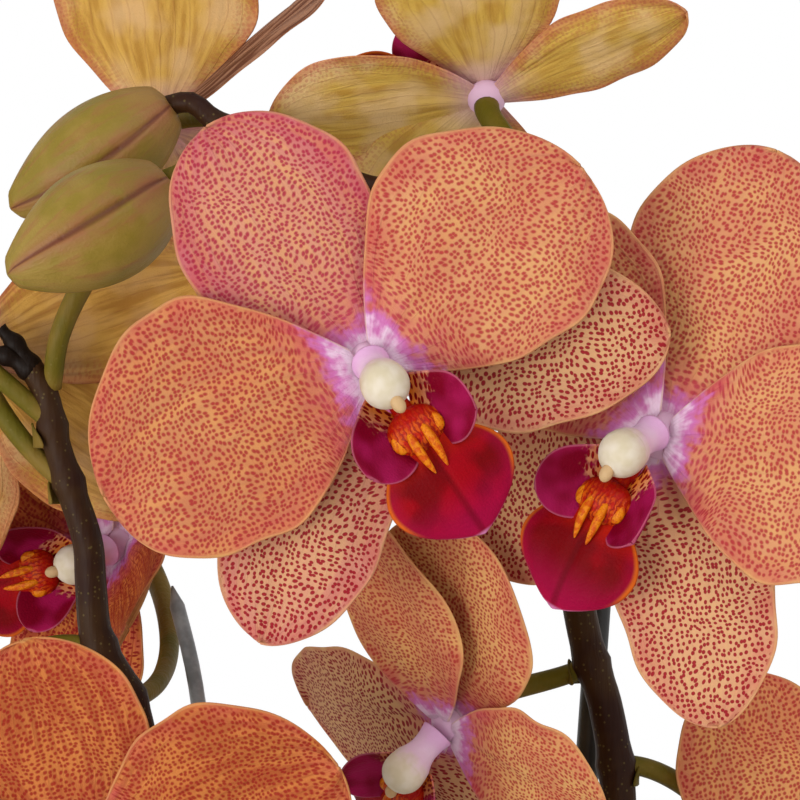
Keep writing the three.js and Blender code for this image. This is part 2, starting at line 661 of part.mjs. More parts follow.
// The short stem with its roots, notched where the leaves and spikes grow out of it
function crownSolid() {
  const body = unite([stemSolid(0), ...[...ROOTS, ...HANGING_ROOTS].map((root) => rootSolid(root, 0))]);
  const notches = [
    ...LEAVES.map((leaf) => leafSolid(leaf, GAP)),
    spikeSolid(LEFT_SPIKE, [], GAP),
    spikeSolid(RIGHT_SPIKE, [], GAP),
  ];
  return largestBody(body.subtract(unite(notches)));
}

// A springy band round a spike and its stake
function clipSolid(clip) {
  const spike = clip.spike === 'left' ? LEFT_SPIKE : RIGHT_SPIKE;
  const stake = STAKES[clip.stake];
  const a = placeAtHeight(routeCurve(spike.route), clip.height);
  const b = placeAtHeight(routeCurve(stake.route), clip.height);
  const half = Math.hypot(b.x - a.x, b.y - a.y) / 2;
  const radius = spike.thick[0] + CLIP.play;
  const band = new THREE.Shape();
  band.absarc(half, 0, radius + CLIP.wall, -Math.PI / 2, Math.PI / 2);
  band.absarc(-half, 0, radius + CLIP.wall, Math.PI / 2, (3 * Math.PI) / 2);
  const inside = new THREE.Path();
  inside.absarc(half, 0, radius, -Math.PI / 2, Math.PI / 2);
  inside.absarc(-half, 0, radius, Math.PI / 2, (3 * Math.PI) / 2);
  band.holes.push(inside);
  const upwards = { depth: CLIP.height, bevelEnabled: false, curveSegments: 3 };
  const geometry = new THREE.ExtrudeGeometry(band, upwards);
  geometry.translate(0, 0, -CLIP.height / 2);
  geometry.rotateZ(Math.atan2(b.y - a.y, b.x - a.x));
  geometry.translate((a.x + b.x) / 2, (a.y + b.y) / 2, clip.height);
  return solidOfGeometry(geometry);
}

// Assembly
const plant = new THREE.Group();
plant.add(meshOf('pot', potSolid(), 'glaze'));
plant.add(meshOf('bark_medium', barkSolid(), 'bark'));
plant.add(meshOf('stem_and_roots', crownSolid(), 'root'));
LEAVES.forEach((leaf, k) => plant.add(meshOf(`leaf_${k + 1}`, leafSolid(leaf, 0), 'leaf')));
const leftSpike = unite([spikeSolid(LEFT_SPIKE, STALKS.left, 0), forkSolid(), budStalkSolid(0)]);
plant.add(meshOf(LEFT_SPIKE.name, leftSpike, 'spike'));
plant.add(meshOf(RIGHT_SPIKE.name, spikeSolid(RIGHT_SPIKE, STALKS.right, 0), 'spike'));
STAKES.forEach((stake) => plant.add(meshOf(stake.name, stakeSolid(stake, 0), stake.material)));
CLIPS.forEach((clip) => plant.add(meshOf(clip.name, clipSolid(clip), 'clip')));
plant.add(meshOf('bud_left', budSolid(BUDS.left, budStalkSolid(GAP)), 'bud'));
plant.add(meshOf('bud_right', budSolid(BUDS.right, spikeSolid(RIGHT_SPIKE, [], GAP)), 'bud'));
BLOOMS.forEach((bloom) => plant.add(bloomMeshes(bloom)));

export default plant;
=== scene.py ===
import math
from itertools import product

import bpy
import numpy as np
from mathutils import Euler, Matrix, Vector


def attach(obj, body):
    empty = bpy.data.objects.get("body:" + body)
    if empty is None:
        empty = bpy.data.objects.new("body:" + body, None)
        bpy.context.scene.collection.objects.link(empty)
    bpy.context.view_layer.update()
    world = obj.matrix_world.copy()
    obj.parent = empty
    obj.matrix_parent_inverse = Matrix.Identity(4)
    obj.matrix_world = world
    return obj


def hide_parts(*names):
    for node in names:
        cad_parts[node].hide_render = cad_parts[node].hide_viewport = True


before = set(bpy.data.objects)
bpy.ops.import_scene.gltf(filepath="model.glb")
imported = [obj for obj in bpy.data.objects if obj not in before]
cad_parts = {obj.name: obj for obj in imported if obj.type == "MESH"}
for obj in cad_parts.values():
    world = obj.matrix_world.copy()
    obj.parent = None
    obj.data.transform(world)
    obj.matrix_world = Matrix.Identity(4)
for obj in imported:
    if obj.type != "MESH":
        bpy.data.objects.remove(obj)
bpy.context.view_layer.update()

# Looks of the potted fire orchid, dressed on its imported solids. Lengths are millimetres until a
# mesh is made. +Z is up and the blooms face -Y.
MM = 0.001
PHOTO_PIXELS = 800
FOCAL_PIXELS = 3883
CAMERA_AT = (0, -595, 430)

POT = dict(height=112, foot_radius=45, top_radius=62, rim=2.2, wall=4.5, floor=6, foot=1.5, collar=7)
# Each bark chip lies a turn further round than the one before it, as seeds do on a flower head
BARK = dict(top=101, gap=0.3, chips=230, turn=137.5)
STEM = dict(foot=90, top=140, radius=9)
TEPAL_START = 2
TEPAL_THICKNESS = 0.9
RECEPTACLE = dict(across=3.5, deep=2.9, back=-1.4)
STALK = dict(radius=1.5, swell=0.5, sink=0.6, steps=48, sides=16)
# A sheet stops just before the point where its outline closes
TIP = 0.9995

DORSAL = dict(length=39, width=28.5, claw=0.22, belly=0.54, point=0.5, skew=0, level=-1.4,
              rise=3, bend=-8, tilt=0, cup=0.06, ruffle=0.4, waves=1.5, bold=0.35)
PETAL = dict(length=38.5, width=34, claw=0.18, belly=0.53, point=0.48, skew=0.1, level=0.8,
             rise=9, bend=-14, tilt=0, cup=0.05, ruffle=0.8, waves=1.8, bold=0.3)
LATERAL = dict(length=40.5, width=24.5, claw=0.26, belly=0.5, point=0.58, skew=0.06, level=-1.4,
               rise=0, bend=-6, tilt=0, cup=0.06, ruffle=0.4, waves=1.3, bold=1)
# The order in which a bloom's angles are given, clockwise from its top as it is faced
TEPALS = [(DORSAL, 1), (PETAL, 1), (PETAL, -1), (LATERAL, 1), (LATERAL, -1)]
# Heights of a tepal's fine relief, the width of its middle groove, and the shares of its half
# width by which its margin wanders
RELIEF = dict(flutter=0.35, dents=0.6, groove=0.5, groove_width=1.2, pleats=0.07, wander=0.035,
              notches=0.016)

# Each bloom's heart, facing, roll, size and tepal angles, as its solids have them, and what is
# different in single tepals. The last two values are how pink and how deep its colour is.
BLOOMS = [
    dict(name="a", at=(-4, -48, 435), turn=0, lift=0, roll=-34, size=1,
         angles=(-1, 81, -82, 118, -124),
         changes={0: dict(pink=1), 2: dict(length=40, width=36, deep=0.35), 4: dict(pink=0.7)},
         pink=0.35, deep=0),
    dict(name="b", at=(37, -38, 425), turn=-25, lift=3, roll=28, size=1,
         angles=(-6, 76, -73, 140, -147), changes={0: dict(length=42, width=31), 4: dict(length=33)},
         pink=0.35, deep=0),
    dict(name="c", at=(7, -6, 380.5), turn=-47, lift=-30, roll=43, size=0.96,
         angles=(-14, 76, -37, 146, -138),
         changes={0: dict(width=31), 1: dict(length=32, width=31), 2: dict(width=24),
                  4: dict(width=28, bend=-16)},
         pink=0.1, deep=0),
    dict(name="d", at=(-44.5, -32, 361), turn=0, lift=-22, roll=-14, size=1,
         angles=(0, 76, -87, 125, -125), changes={0: dict(length=36)}, pink=0, deep=0.85),
    dict(name="e", at=(-47, 36, 406), turn=-15, lift=-10, roll=75, size=0.95,
         angles=(-30, 48, -117, 128, -155),
         changes={1: dict(length=30, width=26, level=-0.8, rise=58, bend=16)}, pink=0.2, deep=1),
    dict(name="f", at=(13.5, 12, 478), turn=180, lift=45, roll=-75, size=0.88,
         angles=(16, 87, -118, 172, -142),
         changes={0: dict(length=38, width=15, level=-1.9, tilt=14), 2: dict(width=28),
                  3: dict(length=37), 4: dict(length=34)},
         pink=0.4, deep=0),
    dict(name="g", at=(-38.5, 24, 473.5), turn=180, lift=0, roll=-45, size=0.95,
         angles=(-5, 50, -100, 180, -132),
         changes={0: dict(tilt=74, width=17, pink=1, deep=1), 2: dict(length=34),
                  3: dict(length=22, width=16), 4: dict(length=32)},
         pink=0.1, deep=0.4),
    # Bloom h is seen from behind. Its deep value browns its back, partly as its own colour and partly as
    # painted shade.
    dict(name="h", at=(-67, 14, 437.5), turn=180, lift=0, roll=95, size=0.95,
         angles=(0, 65, -55, 140, -167), changes={4: dict(level=-2.6)}, pink=0.1, deep=0.7),
    dict(name="i", at=(60.8, -2, 350), turn=0, lift=0, roll=-13, size=0.95,
         angles=(0, 87, -84, 125, -140), changes={}, pink=0.2, deep=0.3),
    dict(name="k", at=(-104, 30, 468), turn=180, lift=0, roll=90, size=0.92,
         angles=(0, 87, -87, 125, -125), changes={}, pink=0.2, deep=0.3),
]

MID_LOBE = dict(at=(0, -12.2, 7), along=(0, -0.94, 0.3), face=(0, 0.3, 0.94), length=16.5,
                width=19, claw=0.36, belly=0.46, point=0.72, shoulder=0.7, bend=-42, cup=-0.18,
                thick=1, thinned=0.65)
SIDE_LOBE = dict(at=(1.6, -7.8, 4.8), along=(0.68, -0.5, 0.56), face=(-0.6, 0.1, 0.78), length=11.6,
                 width=10.5, claw=0.9, belly=0.5, point=0.5, bend=12, cup=0.16,
                 thick=0.7, thinned=0.72)
LIP_CLAW = [(0, -3.92, 2.1), (0, -7.2, 4.2), (0, -11.2, 6.4)]
CALLUS = dict(at=(0, -11.2, 6.6), reach=(4.4, 3.5, 2.7))
RIDGE = [(1.1, -10.6, 8.8), (1.25, -12.6, 9.3), (1.2, -15, 9.2), (1.0, -17.6, 8.5)]
RIDGE_RADIUS = 0.66
SHOULDER = dict(at=(3.0, -11.6, 8.0), reach=(1.1, 1.5, 0.6))
APICULUS = dict(at=(0, -26.6, 5.0), reach=(0.9, 1.4, 0.8))
COLUMN = [(0, 0.2, 2.2), (0, -0.8, 4.2), (0, -2.2, 7), (0, -3.7, 10), (0, -4.7, 12.6)]
COLUMN_FORM = dict(radius=2.75, waist=0.45, cap=0.7)
BEAK = dict(at=(0, -6.7, 11.6), reach=(1.0, 1.4, 0.9))

LEFT_SPIKE = dict(thick=(3.4, 1.9), taper=4, nodes=(170, 235, 300, 351), route=[
    (1, -6, 112), (0, -15.6, 124), (-8, -18, 150), (-20, -11, 210), (-29, -4, 280), (-37, 0, 345),
    (-41, 2, 382), (-46.5, 2, 393), (-47.5, 2, 401), (-48, 2, 408), (-50.5, 2, 416), (-53, 2, 424),
    (-54.5, 2, 431), (-57, 2, 435.5)])
RIGHT_SPIKE = dict(thick=(3.4, 1.6), taper=2.2, nodes=(165, 230, 292, 338), route=[
    (1, 6, 112), (2, 15, 124), (6, 17, 150), (13, 11, 210), (22, 4, 280), (31.5, 0, 345),
    (33.5, 0, 368), (31.5, 0, 383), (29, 0, 391), (27, 0, 401), (25.5, 0, 418), (24.5, 0, 433),
    (23, 0, 445), (20.5, 0, 454), (15, 0, 460), (6, 0, 462), (-4.5, 0, 462.5), (-15, 0, 467),
    (-24.5, 0, 470.5), (-28.5, 0, 472.8), (-32, 0, 475.6), (-36.5, 1.5, 475)])
# A spike swells at its nodes and where a stalk leaves it, and turns green below a height
SWELLING = dict(rise=0.5, reach=1.6)
SPIKE_GREEN = dict(below=300, over=160, most=0.7)
# Each stalk's bloom, its start on the spike, how it sets off, and its run up to the bloom
LEFT_STALKS = [("d", (-46, 2, 392), (-26, 4, 4), 24), ("e", (-42, 2, 384), (12, 22, 0), 16),
               ("h", (-51, 2, 417), (-10, 4, 7), 6), ("k", (-53, 2, 426), (-20, -2, 18), 22)]
RIGHT_STALKS = [("i", (32.5, 0, 374), (14, 2, 2), 12), ("c", (29.5, 0, 389.5), (-8, 3, -4), 8),
                ("b", (27, 0, 402), (3, -9, 6), 12), ("a", (24.8, 0, 428), (-6, -10, 4), 16),
                ("f", (18.5, 0, 457), (3, 1, 12), 6), ("g", (-27, 0, 471.5), (0, 6, 4), 8)]
# Length and greenness of the bracts at a spike's nodes and under the foot of each stalk
NODE_BRACT = (6.5, 0.4)
STALK_BRACT = (3.6, 0.5)
STALK_BRACT_DROP = 3.2
BRACT_THICKNESS = 0.35
FORK = dict(foot=(-56.5, 2, 434.5), prongs=[(-61.5, 2, 441), (-63.5, 1, 437.5)], steps=16)
BUDS = [dict(name="bud_left", base=(-34.5, -13, 462.5), tip=(-58, -21, 448.5), radius=9, roll=20),
        dict(name="bud_right", base=(-35, 1, 475.5), tip=(-60, 3, 459.5), radius=8, roll=-10)]
BUD_SAG = 1.2
BUD_STALK = [(-53.5, 2, 432), (-52, -1, 440), (-47, -2.5, 450), (-38, -5, 461.5), (-32.8, -11.8, 463.6)]

LEAVES = [dict(azimuth=172, base=112, length=172, width=62, rise=24, bend=-66),
          dict(azimuth=-12, base=116, length=180, width=64, rise=24, bend=-68),
          dict(azimuth=196, base=121, length=158, width=60, rise=38, bend=-62),
          dict(azimuth=14, base=125, length=164, width=60, rise=38, bend=-62),
          dict(azimuth=184, base=130, length=118, width=50, rise=54, bend=-48),
          dict(azimuth=-4, base=134, length=96, width=42, rise=64, bend=-40)]
LEAF = dict(claw=0.24, belly=0.58, point=0.5, start=5, thickness=2)
# Bearing, reach and arch of the roots that end in the bark, and bearing and drop of the others
ROOTS = [(40, 34, 9), (108, 40, 7), (140, 30, 8), (215, 42, 8), (272, 33, 10), (326, 44, 9)]
HANGING_ROOTS = [(292, 46), (238, 30)]
ROOT_RADIUS = 2.7

BLACK_STAKE = dict(radius=1.9, route=[(4, 27, 8), (31.3, 8.5, 404)])
GREY_WIRE = dict(radius=1.2, route=[(-8, -28, 8), (-8, -28, 130), (-13, -13, 215), (-24, 0, 300),
                                    (-28.5, 8, 350), (-32, 14, 385), (-36, 18.6, 400.6)])
CLIPS = [("clip_right_low", RIGHT_SPIKE, BLACK_STAKE, 205),
         ("clip_right_high", RIGHT_SPIKE, BLACK_STAKE, 318),
         ("clip_left_low", LEFT_SPIKE, GREY_WIRE, 215),
         ("clip_left_high", LEFT_SPIKE, GREY_WIRE, 315)]
CLIP = dict(wall=1.3, height=5, play=0.7)

# Half the floor's side, and each lamp's name, place, size and power, in metres and watts
FLOOR_REACH = 3.2
LAMPS = [("key", (0.45, -1.25, 1.35), 0.6, 6), ("fill", (-0.8, -1.0, 0.08), 0.8, 14)]
LAMP_AIM = (0, 0, 0.4)
# Two heights of view and how bright the surround is at each, below the horizon and above it
SURROUND = [(-0.4, -0.14, 0.75, 1.0), (0.14, 0.45, 1.0, 0.6)]


# Geometry helpers
def unit(vectors):
    """Vectors along the last axis, scaled to length one."""
    length = np.linalg.norm(vectors, axis=-1, keepdims=True)
    return vectors / np.maximum(length, 1e-9)


def circle(sides):
    """The angles of evenly spaced points on a circle."""
    return np.linspace(0, 2 * math.pi, sides, endpoint=False)


def bloom_frame(bloom):
    """The three axes of a bloom as rows: right, top and face."""
    turn, lift, roll = (math.radians(bloom[key]) for key in ("turn", "lift", "roll"))
    face = np.array((math.sin(turn) * math.cos(lift), -math.cos(turn) * math.cos(lift), math.sin(lift)))
    side = np.array((math.cos(turn), math.sin(turn), 0))
    top = np.cross(face, side)
    right = side * math.cos(roll) - top * math.sin(roll)
    up = top * math.cos(roll) + side * math.sin(roll)
    return np.array((right, up, face))


# Vectors that are written on points. On a tepal, lobe or leaf, sheet is (across, along, seed) in
# millimetres, and elsewhere it is where a texture is read, which is the place itself but for bark
# chips. shape is (share of the length, share of the half width, distance to the margin). tone is
# (pink, deep, bold) on a tepal, and the cosine and sine of the turn and the share of the length on
# a bud. All other values are single numbers.
VECTOR_VALUES = ("sheet", "shape", "tone")


def add_object(name, data):
    made = bpy.data.objects.new(name, data)
    bpy.context.scene.collection.objects.link(made)
    return made


class Pile:
    """The points, faces and per-point values of one piece, gathered part by part."""

    def __init__(self, bloom=None):
        self.bloom = bloom
        self.points = []
        self.faces = []
        self.values = {}
        self.count = 0

    def add(self, points, faces, **values):
        """Adds one closed part. The parts of a bloom are given in the bloom's own frame."""
        points = np.asarray(points, float).reshape(-1, 3)
        size = len(points)
        place = points
        if self.bloom:
            place = np.asarray(self.bloom["at"]) + (points * self.bloom["size"]) @ bloom_frame(self.bloom)
        self.points.append(place)
        self.faces.extend((np.asarray(part) + self.count).tolist() for part in faces)
        for name, value in {"sheet": points, **values}.items():
            width = 3 if name in VECTOR_VALUES else 1
            rows = np.broadcast_to(np.asarray(value, float).reshape(-1, width), (size, width))
            self.values.setdefault(name, []).append(rows)
        self.count += size

    def make(self, name, material, slot, node):
        """The finished object, which stands for one CAD node and rides with the plant."""
        mesh = bpy.data.meshes.new(name)
        mesh.from_pydata((np.concatenate(self.points) * MM).tolist(), [], sum(self.faces, []))
        for value, parts in self.values.items():
            kind, field = ("FLOAT_VECTOR", "vector") if value in VECTOR_VALUES else ("FLOAT", "value")
            layer = mesh.attributes.new(value, kind, "POINT")
            layer.data.foreach_set(field, np.concatenate(parts).astype(np.float32).ravel())
        mesh.shade_smooth()
        mesh.materials.append(material)
        piece = add_object(name, mesh)
        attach(piece, "root")
        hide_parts(node)


def smooth_route(route, count):
    """Evenly spaced points on the smooth curve through a list of places."""
    places = np.asarray(route, float)
    ends = [2 * places[0] - places[1], *places, 2 * places[-1] - places[-2]]
    t = np.linspace(0, 1, 24, endpoint=False)[:, None]
    dense = []
    for a, b, c, d in zip(ends, ends[1:], ends[2:], ends[3:]):
        before, middle, after = (math.sqrt(np.linalg.norm(q - p)) for p, q in ((a, b), (b, c), (c, d)))
        leave = ((b - a) / before - (c - a) / (before + middle) + (c - b) / middle) * middle
        arrive = ((c - b) / middle - (d - b) / (middle + after) + (d - c) / after) * middle
        cubic = 2 * b - 2 * c + leave + arrive
        square = -3 * b + 3 * c - 2 * leave - arrive
        dense.append(((cubic * t + square) * t + leave) * t + b)
    return even_points(np.concatenate([*dense, places[-1:]]), count)


def even_points(dense, count):
    steps = np.linalg.norm(np.diff(dense, axis=0), axis=1)
    length = np.concatenate([[0], np.cumsum(steps)])
    wanted = np.linspace(0, length[-1], count + 1)
    return np.stack([np.interp(wanted, length, dense[:, k]) for k in range(3)], axis=1)


def bezier(a, b, c, d, count):
    t = np.linspace(0, 1, 8 * count + 1)[:, None]
    curve = (1 - t) ** 3 * a + 3 * t * (1 - t) ** 2 * b + 3 * t ** 2 * (1 - t) * c + t ** 3 * d
    return even_points(curve, count)


def ring_faces(rings, sides):
    """The walls between stacked rings of points, and the caps to the two end points after them."""
    k = np.arange(sides)
    after = (k + 1) % sides
    start = (np.arange(rings - 1) * sides)[:, None]
    walls = np.stack([start + k, start + after, start + after + sides, start + k + sides], axis=-1)
    last, foot = (rings - 1) * sides, rings * sides
    return [walls.reshape(-1, 4), np.stack([np.full(sides, foot), after, k], axis=1),
            np.stack([np.full(sides, foot + 1), last + k, last + after], axis=1)]


def tube(path, radius, sides):
    """A closed tube along a path. The radius has a value for each step, or for each step and side."""
    steps = len(path)
    ahead = unit(np.gradient(path, axis=0))
    helper = np.array((0, 0, 1.0)) if abs(ahead[0][2]) < 0.8 else np.array((1.0, 0, 0))
    normal = unit(np.cross(ahead[0], helper))
    normals = []
    for direction in ahead:
        normal = unit(normal - direction * np.dot(normal, direction))
        normals.append(normal)
    normals = np.array(normals)
    angle = circle(sides)[:, None]
    spokes = np.cos(angle) * normals[:, None] + np.sin(angle) * np.cross(ahead, normals)[:, None]
    radius = np.broadcast_to(np.asarray(radius, float).reshape(steps, -1), (steps, sides))
    rings = path[:, None] + radius[..., None] * spokes
    return np.concatenate([rings.reshape(-1, 3), path[:1], path[-1:]]), ring_faces(steps, sides)


def tube_values(values, sides):
    """A value for each step of a tube, or each step and side, as a value for each of its points."""
    grid = np.broadcast_to(values.reshape(len(values), -1), (len(values), sides))
    return np.append(grid, (grid[0, 0], grid[-1, 0]))


def lathe(profile, sides):
    """A solid of revolution whose profile starts and ends on the axis."""
    profile = np.asarray(profile, float)
    radii, heights = profile[1:-1].T
    angle = circle(sides)
    rings = np.stack([np.outer(radii, np.cos(angle)), np.outer(radii, np.sin(angle)),
                      np.outer(heights, np.ones(sides))], axis=-1).reshape(-1, 3)
    points = np.concatenate([rings, [(0, 0, profile[0][1]), (0, 0, profile[-1][1])]])
    return points, ring_faces(len(radii), sides)


def ellipsoid(form, rings, sides):
    """A closed egg round a place, of the given half sizes."""
    polar = np.linspace(0, math.pi, rings + 1)
    points, faces = lathe(np.stack([np.sin(polar), -np.cos(polar)], axis=1), sides)
    return points * form["reach"] + form["at"], faces


def sheet_grid(rows, columns):
    """Shares of the length and of the half width, finer towards the tip and the margins."""
    quarter = 0.92 * math.pi / 2
    along = 1 - (1 - np.linspace(0, 1, rows + 1)) ** 1.5
    across = np.sin(np.linspace(-1, 1, columns + 1) * quarter) / math.sin(quarter)
    return np.meshgrid(along, across, indexing="ij")


def sheet_solid(middle, thickness):
    """Both faces and the rounded rim of a thin sheet round a grid of points.

    It also gives the grid point that each point comes from, and how far it is on the back."""
    normal = unit(np.cross(np.gradient(middle, axis=1), np.gradient(middle, axis=0)))
    half = thickness[..., None] / 2
    index = np.arange(thickness.size).reshape(thickness.shape)
    rim = np.concatenate([index[0, :-1], index[:-1, -1], index[-1, :0:-1], index[:0:-1, 0]])
    inner = np.concatenate([index[1, :-1], index[:-1, -2], index[-2, :0:-1], index[:0:-1, 1]])
    flat = middle.reshape(-1, 3)
    edge = flat[rim] + unit(flat[rim] - flat[inner]) * half.reshape(-1, 1)[rim]
    points = np.concatenate([(middle + normal * half).reshape(-1, 3),
                             (middle - normal * half).reshape(-1, 3), edge])
    size = len(flat)
    a, b, c, d = index[:-1, :-1], index[:-1, 1:], index[1:, 1:], index[1:, :-1]
    front = np.stack([a, b, c, d], axis=-1).reshape(-1, 4)
    ring = 2 * size + np.arange(len(rim))
    next_ring, next_rim = np.roll(ring, -1), np.roll(rim, -1)
    upper = np.stack([next_rim, rim, ring, next_ring], axis=1)
    lower = np.stack([next_ring, ring, size + rim, size + next_rim], axis=1)
    source = np.concatenate([np.arange(size), np.arange(size), rim])
    is_back = np.repeat((0, 1, 0.5), (size, size, len(rim)))
    return points, [front, front[:, ::-1] + size, upper, lower], source, is_back


def add_sheet(pile, form, half, grid, middle, thickness, seed, **values):
    """Adds a thin sheet to a pile, with its place on the sheet written on each point."""
    u, v = grid
    points, faces, source, is_back = sheet_solid(middle, thickness)
    sheet = np.stack([half * v, u * form["length"], np.full_like(u, 10 * seed)], axis=-1)
    margin = np.minimum(half * (1 - np.abs(v)), (1 - u) * form["length"])
    shape = np.stack([u, v, margin], axis=-1)
    pile.add(points, faces, sheet=sheet.reshape(-1, 3)[source], shape=shape.reshape(-1, 3)[source],
             back=is_back, **values)


def outline(form, u):
    """Half width of a sheet, as a share of its greatest half width."""
    swell = np.sin(math.pi / 2 * np.minimum(u / form["belly"], 1)) ** form.get("shoulder", 1)
    near = form["claw"] + (1 - form["claw"]) * swell
    x = TIP * np.clip((u - form["belly"]) / (1 - form["belly"]), 0, 1)
    return np.where(u < form["belly"], near, (1 - x * x) ** form["point"])


def arc(form, u):
    """Slope, reach and height of a sheet's middle line, which starts at a rise and bends evenly."""
    start, turn = math.radians(form.get("rise", 0)), math.radians(form["bend"])
    slope = start + turn * u
    scale = form["length"] / turn
    return slope, scale * (np.sin(slope) - math.sin(start)), scale * (math.cos(start) - np.cos(slope))


# Blooms
def tepal_points(form, hand, angle, u, v, draw):
    """A tepal in its bloom's frame: x right, y to the top, z out of the face."""
    slope, out, up = arc(form, u)
    half = form["width"] / 2 * outline(form, u)
    lean = -hand * form["skew"] * form["width"] * u * (1 - u) * 2
    wave = form["ruffle"] * np.abs(v) ** 3 * np.sin(form["waves"] * 2 * math.pi * u + 1.3 * hand)
    phases = draw.uniform(0, 2 * math.pi, 4)
    foot = np.minimum(3 * u, 1)
    flutter = RELIEF["flutter"] * np.abs(v) ** 5 * np.sin(21 * u + 2.1 * v + phases[0]) * u
    dents = RELIEF["dents"] * np.sin(6 * u + 2.4 * v + phases[1]) * np.sin(3.3 * v + phases[2]) * foot
    groove = np.exp(-(half * v / RELIEF["groove_width"]) ** 2) * np.maximum(1 - u * 1.1, 0) ** 0.5
    pleats = RELIEF["pleats"] * np.cos(9 * math.pi * v) * (1 - u) * np.minimum(6 * u, 1)
    wobble = (RELIEF["wander"] * np.sin(8 * u + phases[3] + 2 * np.sign(v))
              + RELIEF["notches"] * np.sin(23 * u + phases[0])) * np.abs(v) ** 3 * foot
    flat = half * v * (1 + wobble)
    lift = form["cup"] * half * v * v + wave * u + flutter + dents - RELIEF["groove"] * groove + pleats
    roll, a = math.radians(form["tilt"]), math.radians(angle)
    across = lean + flat * math.cos(roll) - lift * math.sin(roll)
    rise = flat * math.sin(roll) + lift * math.cos(roll)
    along = TEPAL_START + out - rise * np.sin(slope)
    place = (along * math.sin(a) + across * math.cos(a), along * math.cos(a) - across * math.sin(a),
             form["level"] + up + rise * np.cos(slope))
    return np.stack(place, axis=-1), half


def tepals_piece(bloom, number):
    """The five tepals and the receptacle that joins them behind the heart."""
    pile = Pile(bloom)
    draw = np.random.default_rng(100 + number)
    u, v = grid = sheet_grid(46, 38)
    thickness = TEPAL_THICKNESS * (1 - 0.65 * np.maximum(np.abs(v), u ** 2) ** 4)
    colours = dict(pink=bloom["pink"], deep=bloom["deep"])
    for k, ((kind, hand), angle) in enumerate(zip(TEPALS, bloom["angles"])):
        form = {**kind, **colours, **bloom["changes"].get(k, {})}
        middle, half = tepal_points(form, hand, angle, u, v, draw)
        add_sheet(pile, form, half, grid, middle, thickness, 5 * number + k,
                  tone=(form["pink"], form["deep"], form["bold"]))
    across, back = RECEPTACLE["across"], RECEPTACLE["back"]
    receptacle = dict(at=(0, 0, back), reach=(across, across, RECEPTACLE["deep"]))
    pile.add(*ellipsoid(receptacle, 12, 20), sheet=(0, 1, 0), shape=(0, 0, 3), back=0,
             tone=(bloom["pink"], bloom["deep"], 0))
    return pile


def mirrored(places, hand):
    """Places on a bloom's right, or on its left for a hand of -1."""
    return np.asarray(places, float) * (hand, 1, 1)


def add_lobe(pile, lobe, grid, lift, seed, zone):
    """Adds a lobe of the lip, which starts at a place of its bloom and runs along one direction."""
    u, v = grid
    along = unit(np.asarray(lobe["along"], float))
    face = np.asarray(lobe["face"], float)
    face = unit(face - along * np.dot(face, along))
    slope, out, up = arc(lobe, u)
    half = lobe["width"] / 2 * outline(lobe, u)
    rise = lobe["cup"] * half * v * v + lift
    out = out - rise * np.sin(slope)
    up = up + rise * np.cos(slope)
    middle = (np.asarray(lobe["at"], float) + out[..., None] * along
              + (half * v)[..., None] * np.cross(along, face) + up[..., None] * face)
    thickness = lobe["thick"] * (1 - lobe["thinned"] * np.maximum(np.abs(v), u) ** 4)
    add_sheet(pile, lobe, half, grid, middle, thickness, seed, zone=zone)


def lip_piece(bloom, number):
    """The lip's middle lobe, zone 0, its two side lobes, zone 1, and its tip, zone 2."""
    pile = Pile(bloom)
    u, v = grid = sheet_grid(40, 34)
    crease = -0.5 * np.exp(-(v / 0.1) ** 2) * np.sin(math.pi * np.minimum(u * 1.15, 1))
    wave = 0.5 * np.abs(v) ** 3 * np.sin(11 * u + 0.9 + number) * u
    hollow = -0.45 * np.exp(-((u - 0.55) ** 2 + (np.abs(v) - 0.45) ** 2) / 0.06)
    add_lobe(pile, MID_LOBE, grid, crease + wave + hollow, 200 + number, 0)
    u, v = grid = sheet_grid(28, 24)
    for hand in (1, -1):
        sided = {key: mirrored(SIDE_LOBE[key], hand) for key in ("at", "along", "face")}
        ruffle = 0.4 * np.abs(v) ** 3 * np.sin(6 * u + hand + number)
        add_lobe(pile, {**SIDE_LOBE, **sided}, grid, ruffle, 230 + number, 1)
    pile.add(*ellipsoid(APICULUS, 8, 12), sheet=(0, 17, 0), shape=(1, 0, 1), back=0, zone=2)
    return pile


def callus_piece(bloom):
    """The raised throat of the lip, with two pointed ridges, two shoulders and the claw."""
    pile = Pile(bloom)
    points, faces = ellipsoid(CALLUS, 22, 34)
    points[:, 2] += 0.09 * np.sin(3.1 * points[:, 0]) * np.sin(2.9 * points[:, 1] + 1)
    pile.add(points, faces, raised=0.3)
    steps, sides = 26, 14
    t = np.linspace(0, 1, steps + 1)
    taper = RIDGE_RADIUS * np.sqrt(np.maximum(1 - (2 * t - 1) ** 2, 0.03)) * (1.3 - 0.6 * t)
    radius = taper[:, None] * (1 - 0.2 * np.sin(circle(sides)) ** 2)
    for hand in (1, -1):
        pile.add(*tube(smooth_route(mirrored(RIDGE, hand), steps), radius, sides), raised=1)
        shoulder = dict(at=mirrored(SHOULDER["at"], hand), reach=SHOULDER["reach"])
        pile.add(*ellipsoid(shoulder, 10, 14), raised=0.8)
    pile.add(*tube(smooth_route(LIP_CLAW, 14), np.linspace(1.1, 2.1, 15), 14), raised=0)
    return pile


